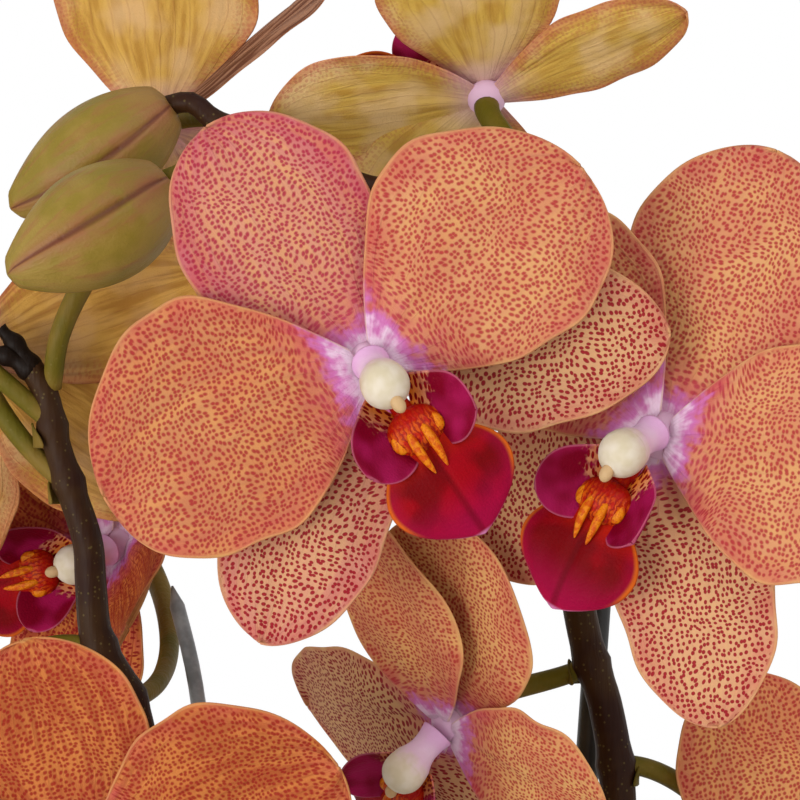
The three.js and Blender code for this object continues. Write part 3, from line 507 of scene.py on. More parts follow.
def column_piece(bloom):
    """The column, a smooth club whose end is the pale cap, and the small beak under the cap."""
    pile = Pile(bloom)
    steps, sides = 44, 30
    t = np.linspace(0, 1, steps + 1)
    swell = np.clip((t - 0.3) / 0.4, 0, 1)
    radii = COLUMN_FORM["radius"] - COLUMN_FORM["waist"] * np.sin(math.pi * np.minimum(t / 0.5, 1))
    radii = radii + COLUMN_FORM["cap"] * swell * swell * (3 - 2 * swell)
    radii = radii * np.sqrt(np.maximum(1 - (np.maximum(t - 0.72, 0) / 0.281) ** 2, 0.001))
    pile.add(*tube(smooth_route(COLUMN, steps), radii, sides), share=tube_values(t, sides), zone=0)
    pile.add(*ellipsoid(BEAK, 12, 18), share=1, zone=1)
    return pile


# Spikes, buds and what holds them
def stalk_path(name, start, set_off, run, count):
    bloom = next(b for b in BLOOMS if b["name"] == name)
    face = bloom_frame(bloom)[2]
    behind = (RECEPTACLE["deep"] - RECEPTACLE["back"]) * bloom["size"] - STALK["sink"]
    end = np.asarray(bloom["at"]) - face * behind
    start = np.asarray(start, float)
    return bezier(start, start + set_off, end - face * run, end, count)


def add_bract(pile, at, radius, lean, bract):
    """A small pointed scale that hugs a stem, on the side that it leans to, and flares at its tip."""
    size, green = bract
    out = unit(np.array((lean[0], lean[1], 0)))
    u, v = sheet_grid(12, 10)
    half = 0.8 * size * (1 - u ** 1.8) + 0.03
    turn = v * half / (radius + 0.3)
    away = radius + 0.25 + 0.08 * size * u ** 2
    place = (np.asarray(at, float) + (size * u)[..., None] * np.array((0, 0, 1.0))
             + (away * np.cos(turn))[..., None] * out
             + (away * np.sin(turn))[..., None] * np.cross((0, 0, 1.0), out))
    points, faces, _, _ = sheet_solid(place, np.full(u.shape, BRACT_THICKNESS))
    pile.add(points, faces, green=green)


def place_at_height(path, height):
    return path[np.argmin(np.abs(path[:, 2] - height))]


def spike_piece(spike, stalks, extras):
    """A flower spike, swollen at its nodes, with its bracts, its blooms' stalks and the extras."""
    pile = Pile()
    steps = 260
    path = smooth_route(spike["route"], steps)
    thick, thin = spike["thick"]
    radius = thick + (thin - thick) * np.linspace(0, 1, steps + 1) ** spike["taper"]
    for height in (*spike["nodes"], *(start[2] for _, start, _, _ in stalks)):
        distance = np.linalg.norm(path - place_at_height(path, height), axis=1)
        radius = radius + SWELLING["rise"] * np.exp(-(distance / SWELLING["reach"]) ** 2)
    points, faces = tube(path, radius, 22)
    green = (SPIKE_GREEN["below"] - points[:, 2]) / SPIKE_GREEN["over"]
    pile.add(points, faces, green=np.clip(green, 0, SPIKE_GREEN["most"]))
    for k, height in enumerate(spike["nodes"]):
        lean = (-1 if k % 2 else 1, -0.4)
        add_bract(pile, place_at_height(path, height), thick, lean, NODE_BRACT)
    t = np.linspace(0, 1, STALK["steps"] + 1)
    stalk_radius = STALK["radius"] + STALK["swell"] * t ** 2
    stalk_green = tube_values(0.85 - 0.25 * t, STALK["sides"])
    for name, start, set_off, run in stalks:
        line = stalk_path(name, start, set_off, run, STALK["steps"])
        pile.add(*tube(line, stalk_radius, STALK["sides"]), green=stalk_green)
        near = np.argmin(np.linalg.norm(np.asarray(start) - path, axis=1))
        add_bract(pile, path[near] - (0, 0, STALK_BRACT_DROP), radius[near], set_off, STALK_BRACT)
    for line, radii, green in extras:
        pile.add(*tube(line, radii, STALK["sides"]), green=green)
    return pile


def left_extras():
    """The stalk of the left bud, and the dead fork at the spike's end."""
    steps = 40
    radius = STALK["radius"] + STALK["swell"] * np.linspace(0, 1, steps + 1)
    extras = [(smooth_route(BUD_STALK, steps), radius, 0.8)]
    steps = FORK["steps"]
    ragged = 1.9 - 0.8 * np.linspace(0, 1, steps + 1) + 0.25 * np.sin(np.arange(steps + 1) * 0.8)
    foot = np.asarray(FORK["foot"], float)
    for tip in FORK["prongs"]:
        middle = (foot + tip) / 2 + (0, 0, 0.6)
        extras.append((smooth_route([foot, middle, tip], steps), ragged, -0.4))
    return extras


def bud_piece(bud):
    """A fat closed bud of three sepals, each of which laps over the next one at a seam."""
    pile = Pile()
    base, tip = np.asarray(bud["base"], float), np.asarray(bud["tip"], float)
    middle = (base + tip) / 2 - (0, 0, BUD_SAG)
    steps, sides = 80, 96
    path = bezier(base, base + (middle - base) * 2 / 3, tip + (middle - tip) * 2 / 3, tip, steps)
    t = np.linspace(0, 1, steps + 1)[:, None]
    angle = circle(sides)[None]
    belly = np.maximum(np.sin(math.pi * (0.06 + 0.9 * t) ** 0.86) ** 0.75, 0.1)
    sepal = ((angle - math.radians(bud["roll"])) / (2 * math.pi / 3) + 0.5 + 0.05 * np.sin(3 * t)) % 1
    from_seam = np.minimum(sepal, 1 - sepal)
    seam = np.exp(-(from_seam / 0.035) ** 2)
    keel = 0.03 * np.exp(-((sepal - 0.5) / 0.12) ** 2) * (1 - t)
    lap = 0.05 * (sepal - 0.5)
    dents = 0.014 * np.sin(7 * t + 2 * angle) * np.sin(3 * angle)
    close = np.sqrt(np.clip(np.minimum(t, 1 - t) / 0.03, 0.05, 1))
    radius = bud["radius"] * belly * (1 - 0.07 * seam + keel + lap + dents) * close
    tone = [tube_values(part + 0 * t, sides) for part in (np.cos(angle), np.sin(angle), t)]
    pile.add(*tube(path, radius, sides), share=tube_values(t, sides),
             from_seam=tube_values(from_seam, sides), tone=np.stack(tone, axis=1))
    return pile


def clip_piece(spike, stake, height):
    """A springy band round a spike and its stake, with rounded edges."""
    pile = Pile()
    a, b = (place_at_height(smooth_route(held["route"], 400), height)[:2] for held in (spike, stake))
    ahead = unit(b - a)
    radius = spike["thick"][0] + CLIP["play"] + CLIP["wall"] / 2
    bow = np.linspace(-math.pi / 2, math.pi / 2, 15)
    end = np.stack([np.linalg.norm(b - a) / 2 + radius * np.cos(bow), radius * np.sin(bow)], axis=1)
    loop = np.concatenate([end, -end]) @ np.array((ahead, (-ahead[1], ahead[0])))
    along = unit(np.roll(loop, -1, axis=0) - np.roll(loop, 1, axis=0))
    outward = np.stack([along[:, 1], -along[:, 0]], axis=1)
    wide, tall = (size / 2 * np.sign(turn) * np.abs(turn) ** 0.5 for size, turn in
                  ((CLIP["wall"], np.cos(circle(16))), (CLIP["height"], np.sin(circle(16)))))
    flat = (a + b) / 2 + loop[:, None] + outward[:, None] * wide[:, None]
    upward = np.broadcast_to(height + tall[:, None], (*flat.shape[:2], 1))
    index = np.arange(upward.size).reshape(flat.shape[:2])
    corners = [np.roll(index, shift, axis=(0, 1)) for shift in ((0, 0), (-1, 0), (-1, -1), (0, -1))]
    pile.add(np.concatenate([flat, upward], axis=-1), [np.stack(corners, axis=-1).reshape(-1, 4)])
    return pile


def stake_piece(stake, sides):
    """A stake or wire whose two ends are rounded."""
    pile = Pile()
    count = 120
    t = np.linspace(0, 1, count + 1)
    close = np.minimum(np.minimum(t, 1 - t) / 0.003, 1)
    radius = stake["radius"] * np.sqrt(np.maximum(1 - (1 - close) ** 2, 0.02))
    pile.add(*tube(smooth_route(stake["route"], count), radius, sides))
    return pile


# Foliage, roots, bark and pot
def leaf_piece(leaf, number):
    """A strap leaf, folded along its middle near its foot, that arches over to its tip."""
    pile = Pile()
    u, v = grid = sheet_grid(64, 30)
    slope, out, up = arc(leaf, u)
    half = leaf["width"] / 2 * outline(LEAF, u)
    fold = half * np.abs(v) * (0.75 * (1 - u) ** 3 + 0.12) + 0.5 * np.sin(7 * u + leaf["azimuth"]) * v
    fold = fold - 0.9 * np.exp(-(half * v / 1.8) ** 2) * (1 - u) + 0.25 * np.sin(9 * u + 3 * v + number)
    along = LEAF["start"] + out - fold * np.sin(slope)
    a = math.radians(leaf["azimuth"])
    middle = np.stack([along * math.cos(a) + half * v * math.sin(a), along * math.sin(a)
                       - half * v * math.cos(a), leaf["base"] + up + fold * np.cos(slope)], axis=-1)
    thickness = LEAF["thickness"] * (1 - 0.6 * np.abs(v) ** 3) * (1 - 0.5 * u ** 6)
    add_sheet(pile, leaf, half, grid, middle, thickness, number)
    return pile


def bearing_place(bearing, radius, z):
    a = math.radians(bearing)
    return (radius * math.cos(a), radius * math.sin(a), z)


def root_routes():
    """Each root's places. The first roots hang over the rim, and the others dive into the bark."""
    rim, top = POT["top_radius"] + POT["rim"], POT["height"]
    stops = []
    for bearing, drop in HANGING_ROOTS:
        stops.append((bearing, [(0, 3, 108), (0, 20, 111), (4, 42, 116), (5, rim - 5, top + 4.6),
                                (6, rim + 1.6, top + 3.2), (7, rim + 3.6, top - 4),
                                (8, rim + 2.2, top - drop * 0.6), (6, rim + 0.6, top - drop)]))
    for bearing, reach, arch in ROOTS:
        stops.append((bearing, [(0, 3, 106), (0, 14, 106 + arch * 0.7), (8, reach * 0.6, 105 + arch),
                                (10, reach * 0.88, 104), (10, reach, 94)]))
    return [[bearing_place(bearing + turn, radius, z) for turn, radius, z in places]
            for bearing, places in stops]


def crown_piece():
    """The short stem with its roots. The stem and the tips of the hanging roots are green."""
    pile = Pile()
    steps, sides = 90, 18
    t = np.linspace(0, 1, steps + 1)[:, None]
    fresh = tube_values(np.clip((t - 0.86) * 9, 0, 1), sides)
    for k, route in enumerate(root_routes()):
        knobs = 0.05 * np.sin(21 * t + k) + 0.03 * np.sin(3 * circle(sides) + 17 * t + k)
        radius = ROOT_RADIUS * (1 - 0.3 * t * t) * (1 + knobs) * np.sqrt(np.clip((1 - t) / 0.04, 0.03, 1))
        green = fresh if k < len(HANGING_ROOTS) else 0
        pile.add(*tube(smooth_route(route, steps), radius, sides), green=green)
    steps, sides = 40, 40
    t = np.linspace(0, 1, steps + 1)[:, None]
    radius = STEM["radius"] * (1.08 - 0.35 * t * t) * (1 - 0.12 * np.cos(circle(sides)) ** 2)
    radius = radius * (1 + 0.03 * np.sin(60 * t)) * np.sqrt(np.clip((1 - t) / 0.08, 0.05, 1))
    path = smooth_route([(0, 0, STEM["foot"]), (0, 0, 115), (0, 0, STEM["top"])], steps)
    pile.add(*tube(path, radius, sides), green=0.8)
    return pile


def inside_radius(z):
    low, high = POT["foot_radius"] + POT["foot"] - POT["wall"], POT["top_radius"] - POT["wall"]
    return low + (high - low) * (z - POT["floor"]) / (POT["height"] - POT["foot"] - POT["floor"])


def pot_piece():
    """The pot, turned from a profile that goes up its outside, over its rim and down its inside."""
    pile = Pile()
    height, foot, floor = POT["height"], POT["foot"], POT["floor"]
    low, top = POT["foot_radius"], POT["top_radius"]
    collar, lip, inner = height - POT["collar"], top + POT["rim"], inside_radius(height - foot)
    profile = [(0, 0), (38, 0), (low - foot, 0), (low, foot)]
    profile += [((1 - t) * low + t * top + 0.6 * math.sin(math.pi * t), foot + t * (collar - foot))
                for t in np.linspace(0.03, 0.97, 24)]
    profile += [(top, collar), (top + POT["rim"] * 0.8, collar + 0.5), (lip, collar + foot),
                (lip, height - 1.6), (lip - 0.5, height - 0.5), (lip - 1.4, height),
                (inner + 1, height), (inner + 0.3, height - 0.4), (inner, height - foot)]
    profile += [(inside_radius(z), z) for z in (90, 60, 30, floor + 1)]
    profile += [(inside_radius(floor) - 2, floor), (0, floor)]
    pile.add(*lathe(profile, 128))
    return pile


def split_box():
    """A box from -1 to 1 on each axis, whose faces are split into quads."""
    counts = (5, 4, 2)
    corners, faces = {}, []
    for axis, sign in product(range(3), (-1, 1)):
        first, second = (k for k in range(3) if k != axis)
        for i, j in product(range(counts[first]), range(counts[second])):
            loop = []
            for di, dj in ((0, 0), (1, 0), (1, 1), (0, 1)):
                place = [sign] * 3
                place[first] = round(2 * (i + di) / counts[first] - 1, 4)
                place[second] = round(2 * (j + dj) / counts[second] - 1, 4)
                loop.append(corners.setdefault(tuple(place), len(corners)))
            faces.append(loop[::-1] if (sign > 0) == (axis == 1) else loop)
    return np.array(list(corners), float), [np.array(faces)]


def rough_chip(box, draw, at, size):
    """One flake of bark: a box that is roughened, tumbled and put in place."""
    points = box * (1 - 0.16 * box[:, [1, 0, 0]] ** 2)
    points = (points + draw.normal(0, 0.075, points.shape) * (1, 1, 1.6)) * size
    tilt, spin, lean = draw.uniform(-0.7, 0.7), draw.uniform(0, 2 * math.pi), draw.uniform(-0.5, 0.5)
    return points @ np.array(Euler((lean, tilt, spin)).to_matrix()).T + at, points


def bark_piece():
    """The plug of bark that fills the pot, with loose chips over its top. The plug is painted near-black
    as the shade in the gaps between the chips.
    """
    pile = Pile()
    foot, top = POT["floor"] + BARK["gap"], BARK["top"]
    reach = inside_radius(top) - 1
    plug = [(0, foot), (inside_radius(foot) - 1, foot), (reach, top - 3), (0, top - 3)]
    pile.add(*lathe(plug, 64), tint=0)
    box, faces = split_box()
    draw = np.random.default_rng(7)
    for k in range(BARK["chips"]):
        size = np.array((1, draw.uniform(0.5, 0.85), draw.uniform(0.22, 0.4))) * draw.uniform(4.2, 8)
        distance = min(reach * math.sqrt((k + 0.5) / BARK["chips"]), reach - size[0])
        at = bearing_place(k * BARK["turn"], distance, top - 2.5 + draw.uniform(0, 5))
        points, grain = rough_chip(box, draw, at, size)
        pile.add(points, faces, sheet=grain + draw.uniform(-90, 90, 3), tint=draw.uniform(0.1, 1))
    return pile


# Materials
def colour(red, green, blue):
    """A display colour, from 0 to 255, as the linear values that shaders take."""
    shares = [c / 255 for c in (red, green, blue)]
    return (*(c / 12.92 if c < 0.04045 else ((c + 0.055) / 1.055) ** 2.4 for c in shares), 1.0)


class Value:
    """A number, vector or colour that a material's nodes work out, written as arithmetic."""

    def __init__(self, look, socket):
        self.look = look
        self.socket = socket

    def __add__(self, other):
        return self.look.math("ADD", self, other)

    def __sub__(self, other):
        return self.look.math("SUBTRACT", self, other)

    def __rsub__(self, other):
        return self.look.math("SUBTRACT", other, self)

    def __mul__(self, other):
        return self.look.math("MULTIPLY", self, other)

    def __abs__(self):
        return self.look.math("ABSOLUTE", self)

    def step(self, low, high):
        """From 0 to 1 as the value goes from low to high, smoothly."""
        return self.look.node("ShaderNodeMapRange", {"Value": self, "From Min": low, "From Max": high},
                              "Result", interpolation_type="SMOOTHSTEP")

    def blend(self, low, high, first, second):
        """From the first colour to the second as the value goes from low to high."""
        return self.look.mix(self.step(low, high), first, second)

    def under(self, share, over):
        """This colour, with a share of another laid over it."""
        return self.look.mix(share, self, over)


class Nodes:
    """The nodes of a material or surround. The calls here add a node and give what it works out."""

    def __init__(self, owner):
        owner.use_nodes = True
        self.tree = owner.node_tree

    def node(self, kind, inputs, output=0, **settings):
        made = self.tree.nodes.new(kind)
        for key, value in settings.items():
            setattr(made, key, value)
        for key, value in inputs.items():
            if isinstance(value, Value):
                self.tree.links.new(value.socket, made.inputs[key])
            else:
                made.inputs[key].default_value = value
        return Value(self, made.outputs[output])

    def math(self, operation, a, b=0.0):
        return self.node("ShaderNodeMath", {0: a, 1: b}, operation=operation)

    def link(self, value, node, key):
        """Links a value to an input of one of the nodes that are there from the start."""
        self.tree.links.new(value.socket, self.tree.nodes[node].inputs[key])


class Look(Nodes):
    """One procedural material."""

    def __init__(self, name, roughness, specular=0.5, coat=0.0):
        self.material = bpy.data.materials.new(name)
        super().__init__(self.material)
        settings = {"Roughness": roughness, "Specular IOR Level": specular, "Coat Weight": coat,
                    "Coat Roughness": 0.25}
        for key, value in settings.items():
            self.tree.nodes["Principled BSDF"].inputs[key].default_value = value

    def value(self, name):
        return self.node("ShaderNodeAttribute", {}, "Fac", attribute_name=name)

    def vector(self, name):
        return self.node("ShaderNodeAttribute", {}, "Vector", attribute_name=name)

    def parts(self, name):
        """The three numbers of a vector that is written on the points."""
        split = self.node("ShaderNodeSeparateXYZ", {"Vector": self.vector(name)})
        return [Value(self, output) for output in split.socket.node.outputs]

    def join(self, x, y, z):
        return self.node("ShaderNodeCombineXYZ", {"X": x, "Y": y, "Z": z})

    def stretch(self, at, scale):
        return self.node("ShaderNodeMapping", {"Vector": at, "Scale": scale})

    def noise(self, at, scale, detail=2.0):
        return self.node("ShaderNodeTexNoise", {"Vector": at, "Scale": scale, "Detail": detail}, "Fac")

    def cells(self, at, scale, randomness, space="3D"):
        """Distance to the nearest of a field of scattered points."""
        return self.node("ShaderNodeTexVoronoi", {"Vector": at, "Scale": scale, "Randomness": randomness},
                         "Distance", voronoi_dimensions=space)

    def mix(self, share, first, second):
        """From the first colour to the second. Each is a value, or a display colour."""
        first, second = (c if isinstance(c, Value) else colour(*c) for c in (first, second))
        return self.node("ShaderNodeMix", {0: share, 6: first, 7: second}, 2, data_type="RGBA")

    def bump(self, height, strength, distance):
        inputs = {"Height": height, "Strength": strength, "Distance": distance * MM}
        self.link(self.node("ShaderNodeBump", inputs, "Normal"), "Principled BSDF", "Normal")

    def finish(self, base, glow=0.0):
        """Links the base colour, and lets a share of the light through a thin sheet."""
        self.link(base, "Principled BSDF", "Base Color")
        if glow:
            through = self.node("ShaderNodeBsdfTranslucent", {"Color": base})
            surface = Value(self, self.tree.nodes["Principled BSDF"].outputs[0])
            both = self.node("ShaderNodeMixShader", {0: glow, 1: surface, 2: through})
            self.link(both, "Material Output", "Surface")
        return self.material


def tepal_look():
    look = Look("tepal", 0.55, specular=0.1)
    place = look.vector("sheet")
    x, y, seed = look.parts("sheet")
    _, v, margin = look.parts("shape")
    pink, deep, bold = look.parts("tone")
    plain = 1.0 - bold
    cloud = look.noise(place, 0.12)
    streak = look.noise(look.join(v * 9.0, y * 0.09, seed), 1.0, 3.0)

    # Ground: cream to orange, pinker towards the margin of a pink bloom, browner in a deep one
    warm = cloud.blend(0.38, 0.62, (224, 166, 92), (206, 126, 72)).under(bold * 0.8, (224, 182, 130))
    flush = margin.blend(9.0, 0.5, (212, 146, 120), (196, 104, 116))
    ground = warm.under(pink * 0.45 + pink * (streak.step(0.35, 0.6) * 0.45), flush)
    ground = ground.under(deep, streak.blend(0.38, 0.6, (202, 118, 52), (168, 76, 28)))
    edge = margin.step(6.0, 0.3) + y.step(16.0, 5.0) * plain
    haze = edge * look.noise(place, 0.3, 3.0).step(0.3, 0.62)
    ground = ground.under(haze * 0.42 + 0.06, (198, 78, 76))

    # Spots: dashes that lie across the base of each tepal, and finer and softer dots on the petals
    reach = y.step(bold * 9.0 + 9.0, bold * 2.0 + 4.0)
    bend = (look.noise(place, 0.12, 1.0) - 0.5) * 3.0
    spot_x = (x + bend) * (1.0 - reach * 0.55) + seed * 3.7
    near = look.cells(look.join(spot_x, y + bend, 0.0), 1.36 - bold * 0.14, 0.68, "2D")
    size = look.noise(place, 0.35) * 0.16 + 0.25 + plain * 0.02
    soft = plain * 0.15 + 0.07
    spot = near.step(size + soft, size - soft)
    fade = margin.step(0.15, 0.9) * y.step(2.0, 5.0)
    ink = look.mix(pink, (184, 50, 44), (176, 38, 76)).under(bold, (154, 14, 36))
    ink = ink.under(deep * 0.8, (140, 28, 16))
    front = ground.under(spot * fade * (0.96 - plain * 0.12), ink)

    # Dark veins in the deepest blooms, the lilac glow round the heart, and the pale rim
    vein = abs(look.math("SINE", v * 19.0 + bend)).step(0.3, 0.0)
    front = front.under(vein * deep.step(0.9, 1.0) * 0.75, (140, 28, 24))
    inward = y - (streak * 0.4 + look.noise(place, 0.5) - 0.7) * 6.0
    front = front.under(inward.step(10.0, 4.0) * 0.4, (206, 84, 104))
    lilac = inward.blend(3.4, 0.8, (208, 116, 184), (240, 212, 234))
    front = front.under(inward.step(5.4, 3.0) * 0.92, lilac)
    front = front.under(margin.step(0.32, 0.08) * 0.35, (222, 178, 112))

    # The back: olive yellow, with the spots showing faintly through it near its margins
    back = streak.blend(0.34, 0.66, (216, 178, 84), (190, 146, 62))
    back = back.under(cloud.step(0.4, 0.7), (222, 186, 128))
    back = back.under(margin.step(2.4, 0.2) * 0.5, (204, 106, 84))
    back = back.under(spot * margin.step(6.0, 1.0) * 0.4, (178, 74, 70))
    back = back.under(y.step(7.0, 0.5) * 0.6, (214, 176, 186))
    back = back.under(deep * 0.6, streak.blend(0.4, 0.6, (204, 132, 54), (168, 92, 34)))
    back = back.under(pink * deep, streak.blend(0.42, 0.58, (172, 124, 96), (112, 68, 48)))
    back = back.under(vein * 0.16, (150, 78, 58))

    fine = look.noise(place, 3.2, 3.0)
    look.bump(fine * 0.6 + streak * 1.3 - spot * 0.12 + vein * 0.3, 0.5, 0.45)
    return look.finish(front.under(look.value("back").step(0.45, 0.8), back), glow=0.15)


def lip_look():
    look = Look("lip", 0.5, specular=0.06)
    place = look.vector("sheet")
    x, y, seed = look.parts("sheet")
    u, _, margin = look.parts("shape")
    zone = look.value("zone")
    cloud = look.noise(place, 0.16, 1.5)

    # The middle lobe: crimson with a scarlet foot, a magenta outer part and an orange rim
    mid = cloud.blend(0.4, 0.6, (112, 0, 6), (148, 0, 16))
    mid = mid.under(u.step(0.45, 0.95) * 0.75, (164, 8, 66))
    mid = mid.under(margin.step(2.8, 0.6) * 0.45, (160, 8, 56))
    # Darker along the middle line: painted shade in the crease that folds the lobe
    mid = mid.under(abs(x).step(0.9, 0.1) * 0.5, (88, 0, 6))
    mid = mid.under(u.step(0.34, 0.1), (172, 22, 2))
    mid = mid.under(margin.step(0.8, 0.15) * u.step(0.8, 0.55) * 0.85, (206, 96, 20))
    mid = mid.under(margin.step(0.7, 0.1) * u.step(0.84, 0.98) * 0.8, (214, 130, 176))

    # The side lobes: magenta, barred with crimson on cream where they join the throat
    bars = look.cells(look.join(x * 0.4, y, seed), 1.5, 0.7, "2D").step(0.42, 0.3)
    tiger = u.blend(0.3, 0.0, (206, 134, 96), (220, 124, 36)).under(bars, (132, 8, 16))
    border = u + (look.noise(place, 0.7) - 0.5) * 0.5
    ear = cloud.blend(0.38, 0.62, (156, 20, 74), (118, 0, 30)).under(border.step(0.36, 0.22), tiger)
    ear = ear.under(margin.step(0.25, 0.05) * 0.35, (206, 120, 140))
    base = mid.under(zone.step(0.4, 0.6), ear).under(zone.step(1.4, 1.6), (222, 160, 192))
    lines = look.noise(look.join(x, y * 0.1, seed), 1.2)
    look.bump(look.noise(place, 2.6, 3.0) + lines, 0.4, 0.35)
    return look.finish(base, glow=0.08)


def callus_look():
    look = Look("callus", 0.45, specular=0.15)
    at = look.vector("sheet")
    x, y, _ = look.parts("sheet")
    warped = look.noise(at, 1.1, 3.0)
    lines = look.math("SINE", x * 9.0 + warped * 14.0)
    throat = warped.blend(0.38, 0.62, (180, 24, 2), (206, 84, 8))
    throat = throat.under(lines.step(0.1, 0.7) * 0.8, (138, 6, 4))
    throat = throat.under(y.step(-10.8, -8.8) * 0.8, (170, 10, 4))
    raised = warped.blend(0.35, 0.6, (200, 80, 4), (222, 128, 14))
    raised = raised.under(look.noise(at, 2.6).step(0.55, 0.68) * 0.6, (178, 44, 4))
    look.bump(warped + lines * 0.15, 0.5, 0.3)
    return look.finish(throat.under(look.value("raised").step(0.4, 0.7), raised), glow=0.08)


def column_look():
    look = Look("column", 0.45, specular=0.2)
    at = look.vector("sheet")
    share = look.value("share")
    cloud = look.noise(at, 0.4)
    along = share + (cloud - 0.5) * 0.35
    cap = cloud.blend(0.3, 0.7, (224, 212, 192), (212, 198, 168))
    base = along.blend(0.0, 0.4, (230, 180, 222), (234, 204, 226)).under(along.step(0.4, 0.68), cap)
    base = base.under(look.value("zone"), (204, 168, 122))
    seam = abs(share - 0.6).step(0.03, 0.0)
    look.bump(look.noise(at, 1.4) - seam * 0.6, 0.3, 0.25)
    return look.finish(base, glow=0.12)


def spike_look():
    look = Look("spike", 0.5, specular=0.12)
    at = look.vector("sheet")
    green = look.value("green")
    cloud = look.noise(at, 0.12, 3.0)
    dark = cloud.blend(0.35, 0.65, (44, 20, 11), (58, 36, 16))
    leafy = cloud.blend(0.35, 0.65, (96, 86, 18), (122, 98, 38))
    base = dark.under((green + cloud * 0.3).step(0.3, 0.8), leafy)
    base = base.under(look.cells(at, 0.95, 1.0).step(0.24, 0.1) * 0.35, (120, 106, 56))
    base = base.under(green.step(-0.05, -0.25), (26, 16, 10))
    look.bump(look.noise(look.stretch(at, (1.6, 1.6, 0.12)), 1.0, 3.0), 0.4, 0.4)
    return look.finish(base)


def bud_look():
    look = Look("bud", 0.45, specular=0.2)
    at = look.vector("sheet")
    from_seam = look.value("from_seam")
    cloud = look.noise(at, 0.16, 3.0)
    veins = look.noise(look.vector("tone"), 5.0, 3.0)
    base = cloud.blend(0.35, 0.65, (132, 112, 38), (148, 122, 56))
    base = base.under(veins.step(0.5, 0.72) * 0.5, (146, 92, 58))
    base = base.under(look.value("share").step(0.35, 0.0) * 0.5, (142, 92, 58))
    base = base.under(from_seam.step(0.25, 0.03) * cloud.step(0.3, 0.6) * 0.55, (140, 74, 58))
    # A dark line along each seam: painted shade where one sepal laps over the next
    base = base.under(from_seam.step(0.05, 0.008) * 0.75, (88, 36, 28))
    look.bump(look.noise(at, 2.4, 3.0) * 0.5 + veins, 0.4, 0.45)
    return look.finish(base)


def leaf_look():
    look = Look("leaf", 0.34, specular=0.45, coat=0.1)
    place = look.vector("sheet")
    x, y, seed = look.parts("sheet")
    _, _, margin = look.parts("shape")
    lines = look.noise(look.join(x, y * 0.02, seed), 0.9)
    base = look.noise(place, 0.05, 4.0).blend(0.35, 0.65, (40, 72, 34), (58, 92, 42))
    base = base.under(lines.step(0.4, 0.65) * 0.35, (78, 108, 52))
    base = base.under(abs(x).step(1.2, 0.3) * 0.5, (96, 120, 58))
    base = base.under(margin.step(1.0, 0.2) * 0.5, (92, 62, 46))
    base = base.under(look.value("back").step(0.4, 0.8), (92, 116, 62))
    look.bump(lines + look.noise(place, 1.2, 3.0) * 0.5, 0.25, 0.5)
    return look.finish(base)


def root_look():
    look = Look("root", 0.7, specular=0.25)
    at = look.vector("sheet")
    base = look.noise(at, 0.15, 4.0).blend(0.35, 0.65, (150, 158, 132), (116, 130, 92))
    base = base.under(look.noise(at, 0.6, 3.0).step(0.55, 0.75) * 0.5, (104, 84, 58))
    base = base.under(look.value("green").step(0.2, 0.9), (88, 118, 48))
    look.bump(look.noise(at, 1.4, 4.0), 0.6, 0.5)
    return look.finish(base)


def bark_look():
    look = Look("bark", 0.9, specular=0.2)
    tint = look.value("tint")
    grain = look.noise(look.stretch(look.vector("sheet"), (0.25, 1, 2.2)), 0.8, 5.0)
    base = grain.blend(0.35, 0.65, (62, 38, 26), (126, 84, 54))
    base = base.under(tint.step(0.5, 1.0) * 0.45, (150, 104, 70))
    # The plug is painted near-black: painted shade in the gaps between the chips
    base = base.under(tint.step(0.08, 0.0), (30, 20, 14))
    look.bump(grain, 0.9, 1.2)
    return look.finish(base)


def glaze_look():
    look = Look("glaze", 0.16, specular=0.5, coat=0.5)
    at = look.vector("sheet")
    base = look.noise(at, 0.03, 3.0).blend(0.35, 0.65, (232, 226, 214), (222, 214, 198))
    base = base.under(look.cells(at, 0.16, 1.0).step(0.07, 0.035) * 0.5, (150, 122, 92))
    look.bump(look.noise(at, 0.09), 0.15, 0.8)
    return look.finish(base)


def plain_look(name, dark, light, roughness, scale):
    """Moulded plastic or drawn wire: a narrow range of one colour, with fine surface relief."""
    look = Look(name, roughness)
    at = look.vector("sheet")
    look.bump(look.noise(at, 1.8, 3.0), 0.25, 0.2)
    return look.finish(look.noise(at, scale, 3.0).blend(0.3, 0.7, dark, light))


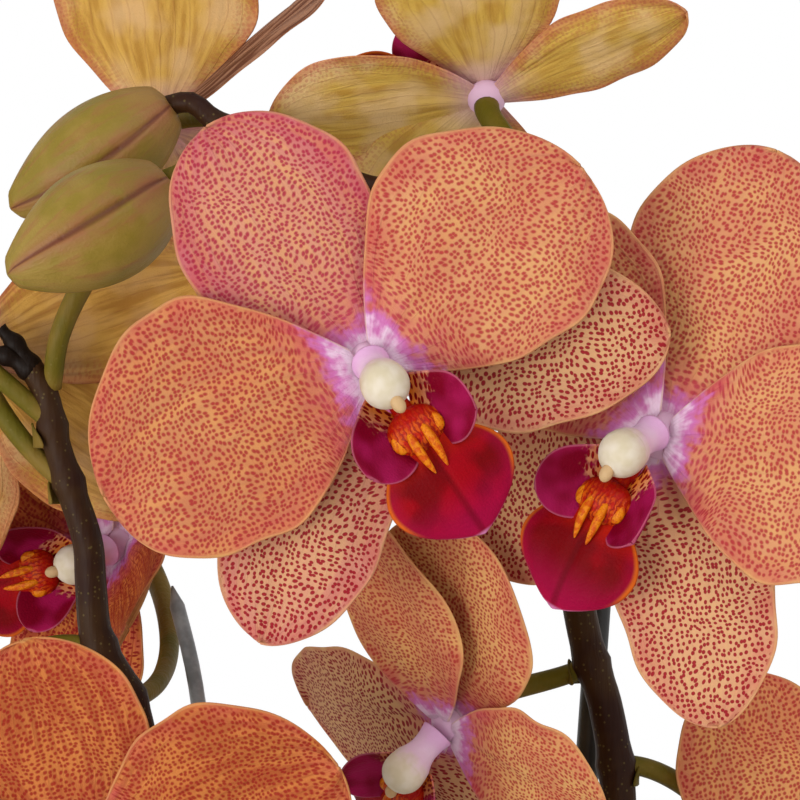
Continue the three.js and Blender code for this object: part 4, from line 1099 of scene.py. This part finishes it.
# Scene
def build_object():
    tepal, lip, callus, column = tepal_look(), lip_look(), callus_look(), column_look()
    for number, bloom in enumerate(BLOOMS):
        name = "bloom_" + bloom["name"]
        tepals_piece(bloom, number).make(name + "_fine_tepals", tepal, "tepal", name + "_tepals")
        lip_piece(bloom, number).make(name + "_fine_lip", lip, "lip", name + "_lip")
        callus_piece(bloom).make(name + "_fine_callus", callus, "lip", name + "_lip")
        column_piece(bloom).make(name + "_fine_column", column, "column", name + "_column")
    spike = spike_look()
    spike_piece(LEFT_SPIKE, LEFT_STALKS, left_extras()).make(
        "left_spike", spike, "spike", "flower_spike_left")
    spike_piece(RIGHT_SPIKE, RIGHT_STALKS, []).make(
        "right_spike", spike, "spike", "flower_spike_right")
    bud = bud_look()
    for one in BUDS:
        bud_piece(one).make(one["name"] + "_fine", bud, "bud", one["name"])
    leaf = leaf_look()
    for number, one in enumerate(LEAVES, 1):
        leaf_piece(one, number).make(f"strap_leaf_{number}", leaf, "leaf", f"leaf_{number}")
    crown_piece().make("stem_with_roots", root_look(), "root", "stem_and_roots")
    bark_piece().make("bark_chips", bark_look(), "bark", "bark_medium")
    pot_piece().make("glazed_pot", glaze_look(), "glaze", "pot")
    black = plain_look("stake_plastic", (22, 20, 20), (40, 36, 34), 0.42, 0.3)
    grey = plain_look("stake_wire", (118, 120, 122), (146, 148, 150), 0.4, 0.5)
    green = plain_look("clip_plastic", (66, 104, 44), (82, 122, 56), 0.35, 0.3)
    stake_piece(BLACK_STAKE, 24).make("black_stake", black, "stake", "stake_black")
    stake_piece(GREY_WIRE, 16).make("grey_wire", grey, "wire", "stake_grey")
    for name, held, stake, height in CLIPS:
        clip_piece(held, stake, height).make(name + "_fine", green, "clip", name)


def build_stage():
    """A plain pale floor, a white surround that is darker below, and two soft lights."""
    mesh = bpy.data.meshes.new("floor")
    corners = [(x * FLOOR_REACH, y * FLOOR_REACH, 0) for x, y in ((-1, -1), (1, -1), (1, 1), (-1, 1))]
    mesh.from_pydata(corners, [], [(0, 1, 2, 3)])
    floor = add_object("floor", mesh)
    look = Look("floor", 0.8, specular=0.2)
    shade = look.noise(look.node("ShaderNodeNewGeometry", {}, "Position"), 3.0)
    mesh.materials.append(look.finish(look.mix(shade, (236, 235, 232), (240, 239, 236))))

    world = bpy.data.worlds.new("studio")
    bpy.context.scene.world = world
    sky = Nodes(world)
    direction = sky.node("ShaderNodeTexCoord", {}, "Generated")
    height = sky.node("ShaderNodeSeparateXYZ", {"Vector": direction}, "Z")
    keys = ("From Min", "From Max", "To Min", "To Max")
    below, above = (sky.node("ShaderNodeMapRange", {"Value": height, **dict(zip(keys, limits))}, "Result")
                    for limits in SURROUND)
    sky.link(below * above, "Background", "Strength")
    sky.tree.nodes["Background"].inputs["Color"].default_value = (1, 1, 1, 1)

    for name, place, size, power in LAMPS:
        lamp = bpy.data.lights.new(name, "AREA")
        lamp.size = size
        lamp.energy = power
        light = add_object(name, lamp)
        light.location = place
        light.rotation_euler = (Vector(LAMP_AIM) - Vector(place)).to_track_quat("-Z", "Y").to_euler()


def build_camera():
    """The photograph's view: level, facing the blooms, close up."""
    lens = bpy.data.cameras.new("camera")
    lens.sensor_width = 36
    lens.lens = lens.sensor_width * FOCAL_PIXELS / PHOTO_PIXELS
    lens.clip_start = 0.02
    camera = add_object("camera", lens)
    camera.location = [c * MM for c in CAMERA_AT]
    camera.rotation_euler = (math.pi / 2, 0, 0)
    bpy.context.scene.camera = camera


bpy.context.scene.view_settings.view_transform = "Standard"
build_camera()
build_stage()
build_object()
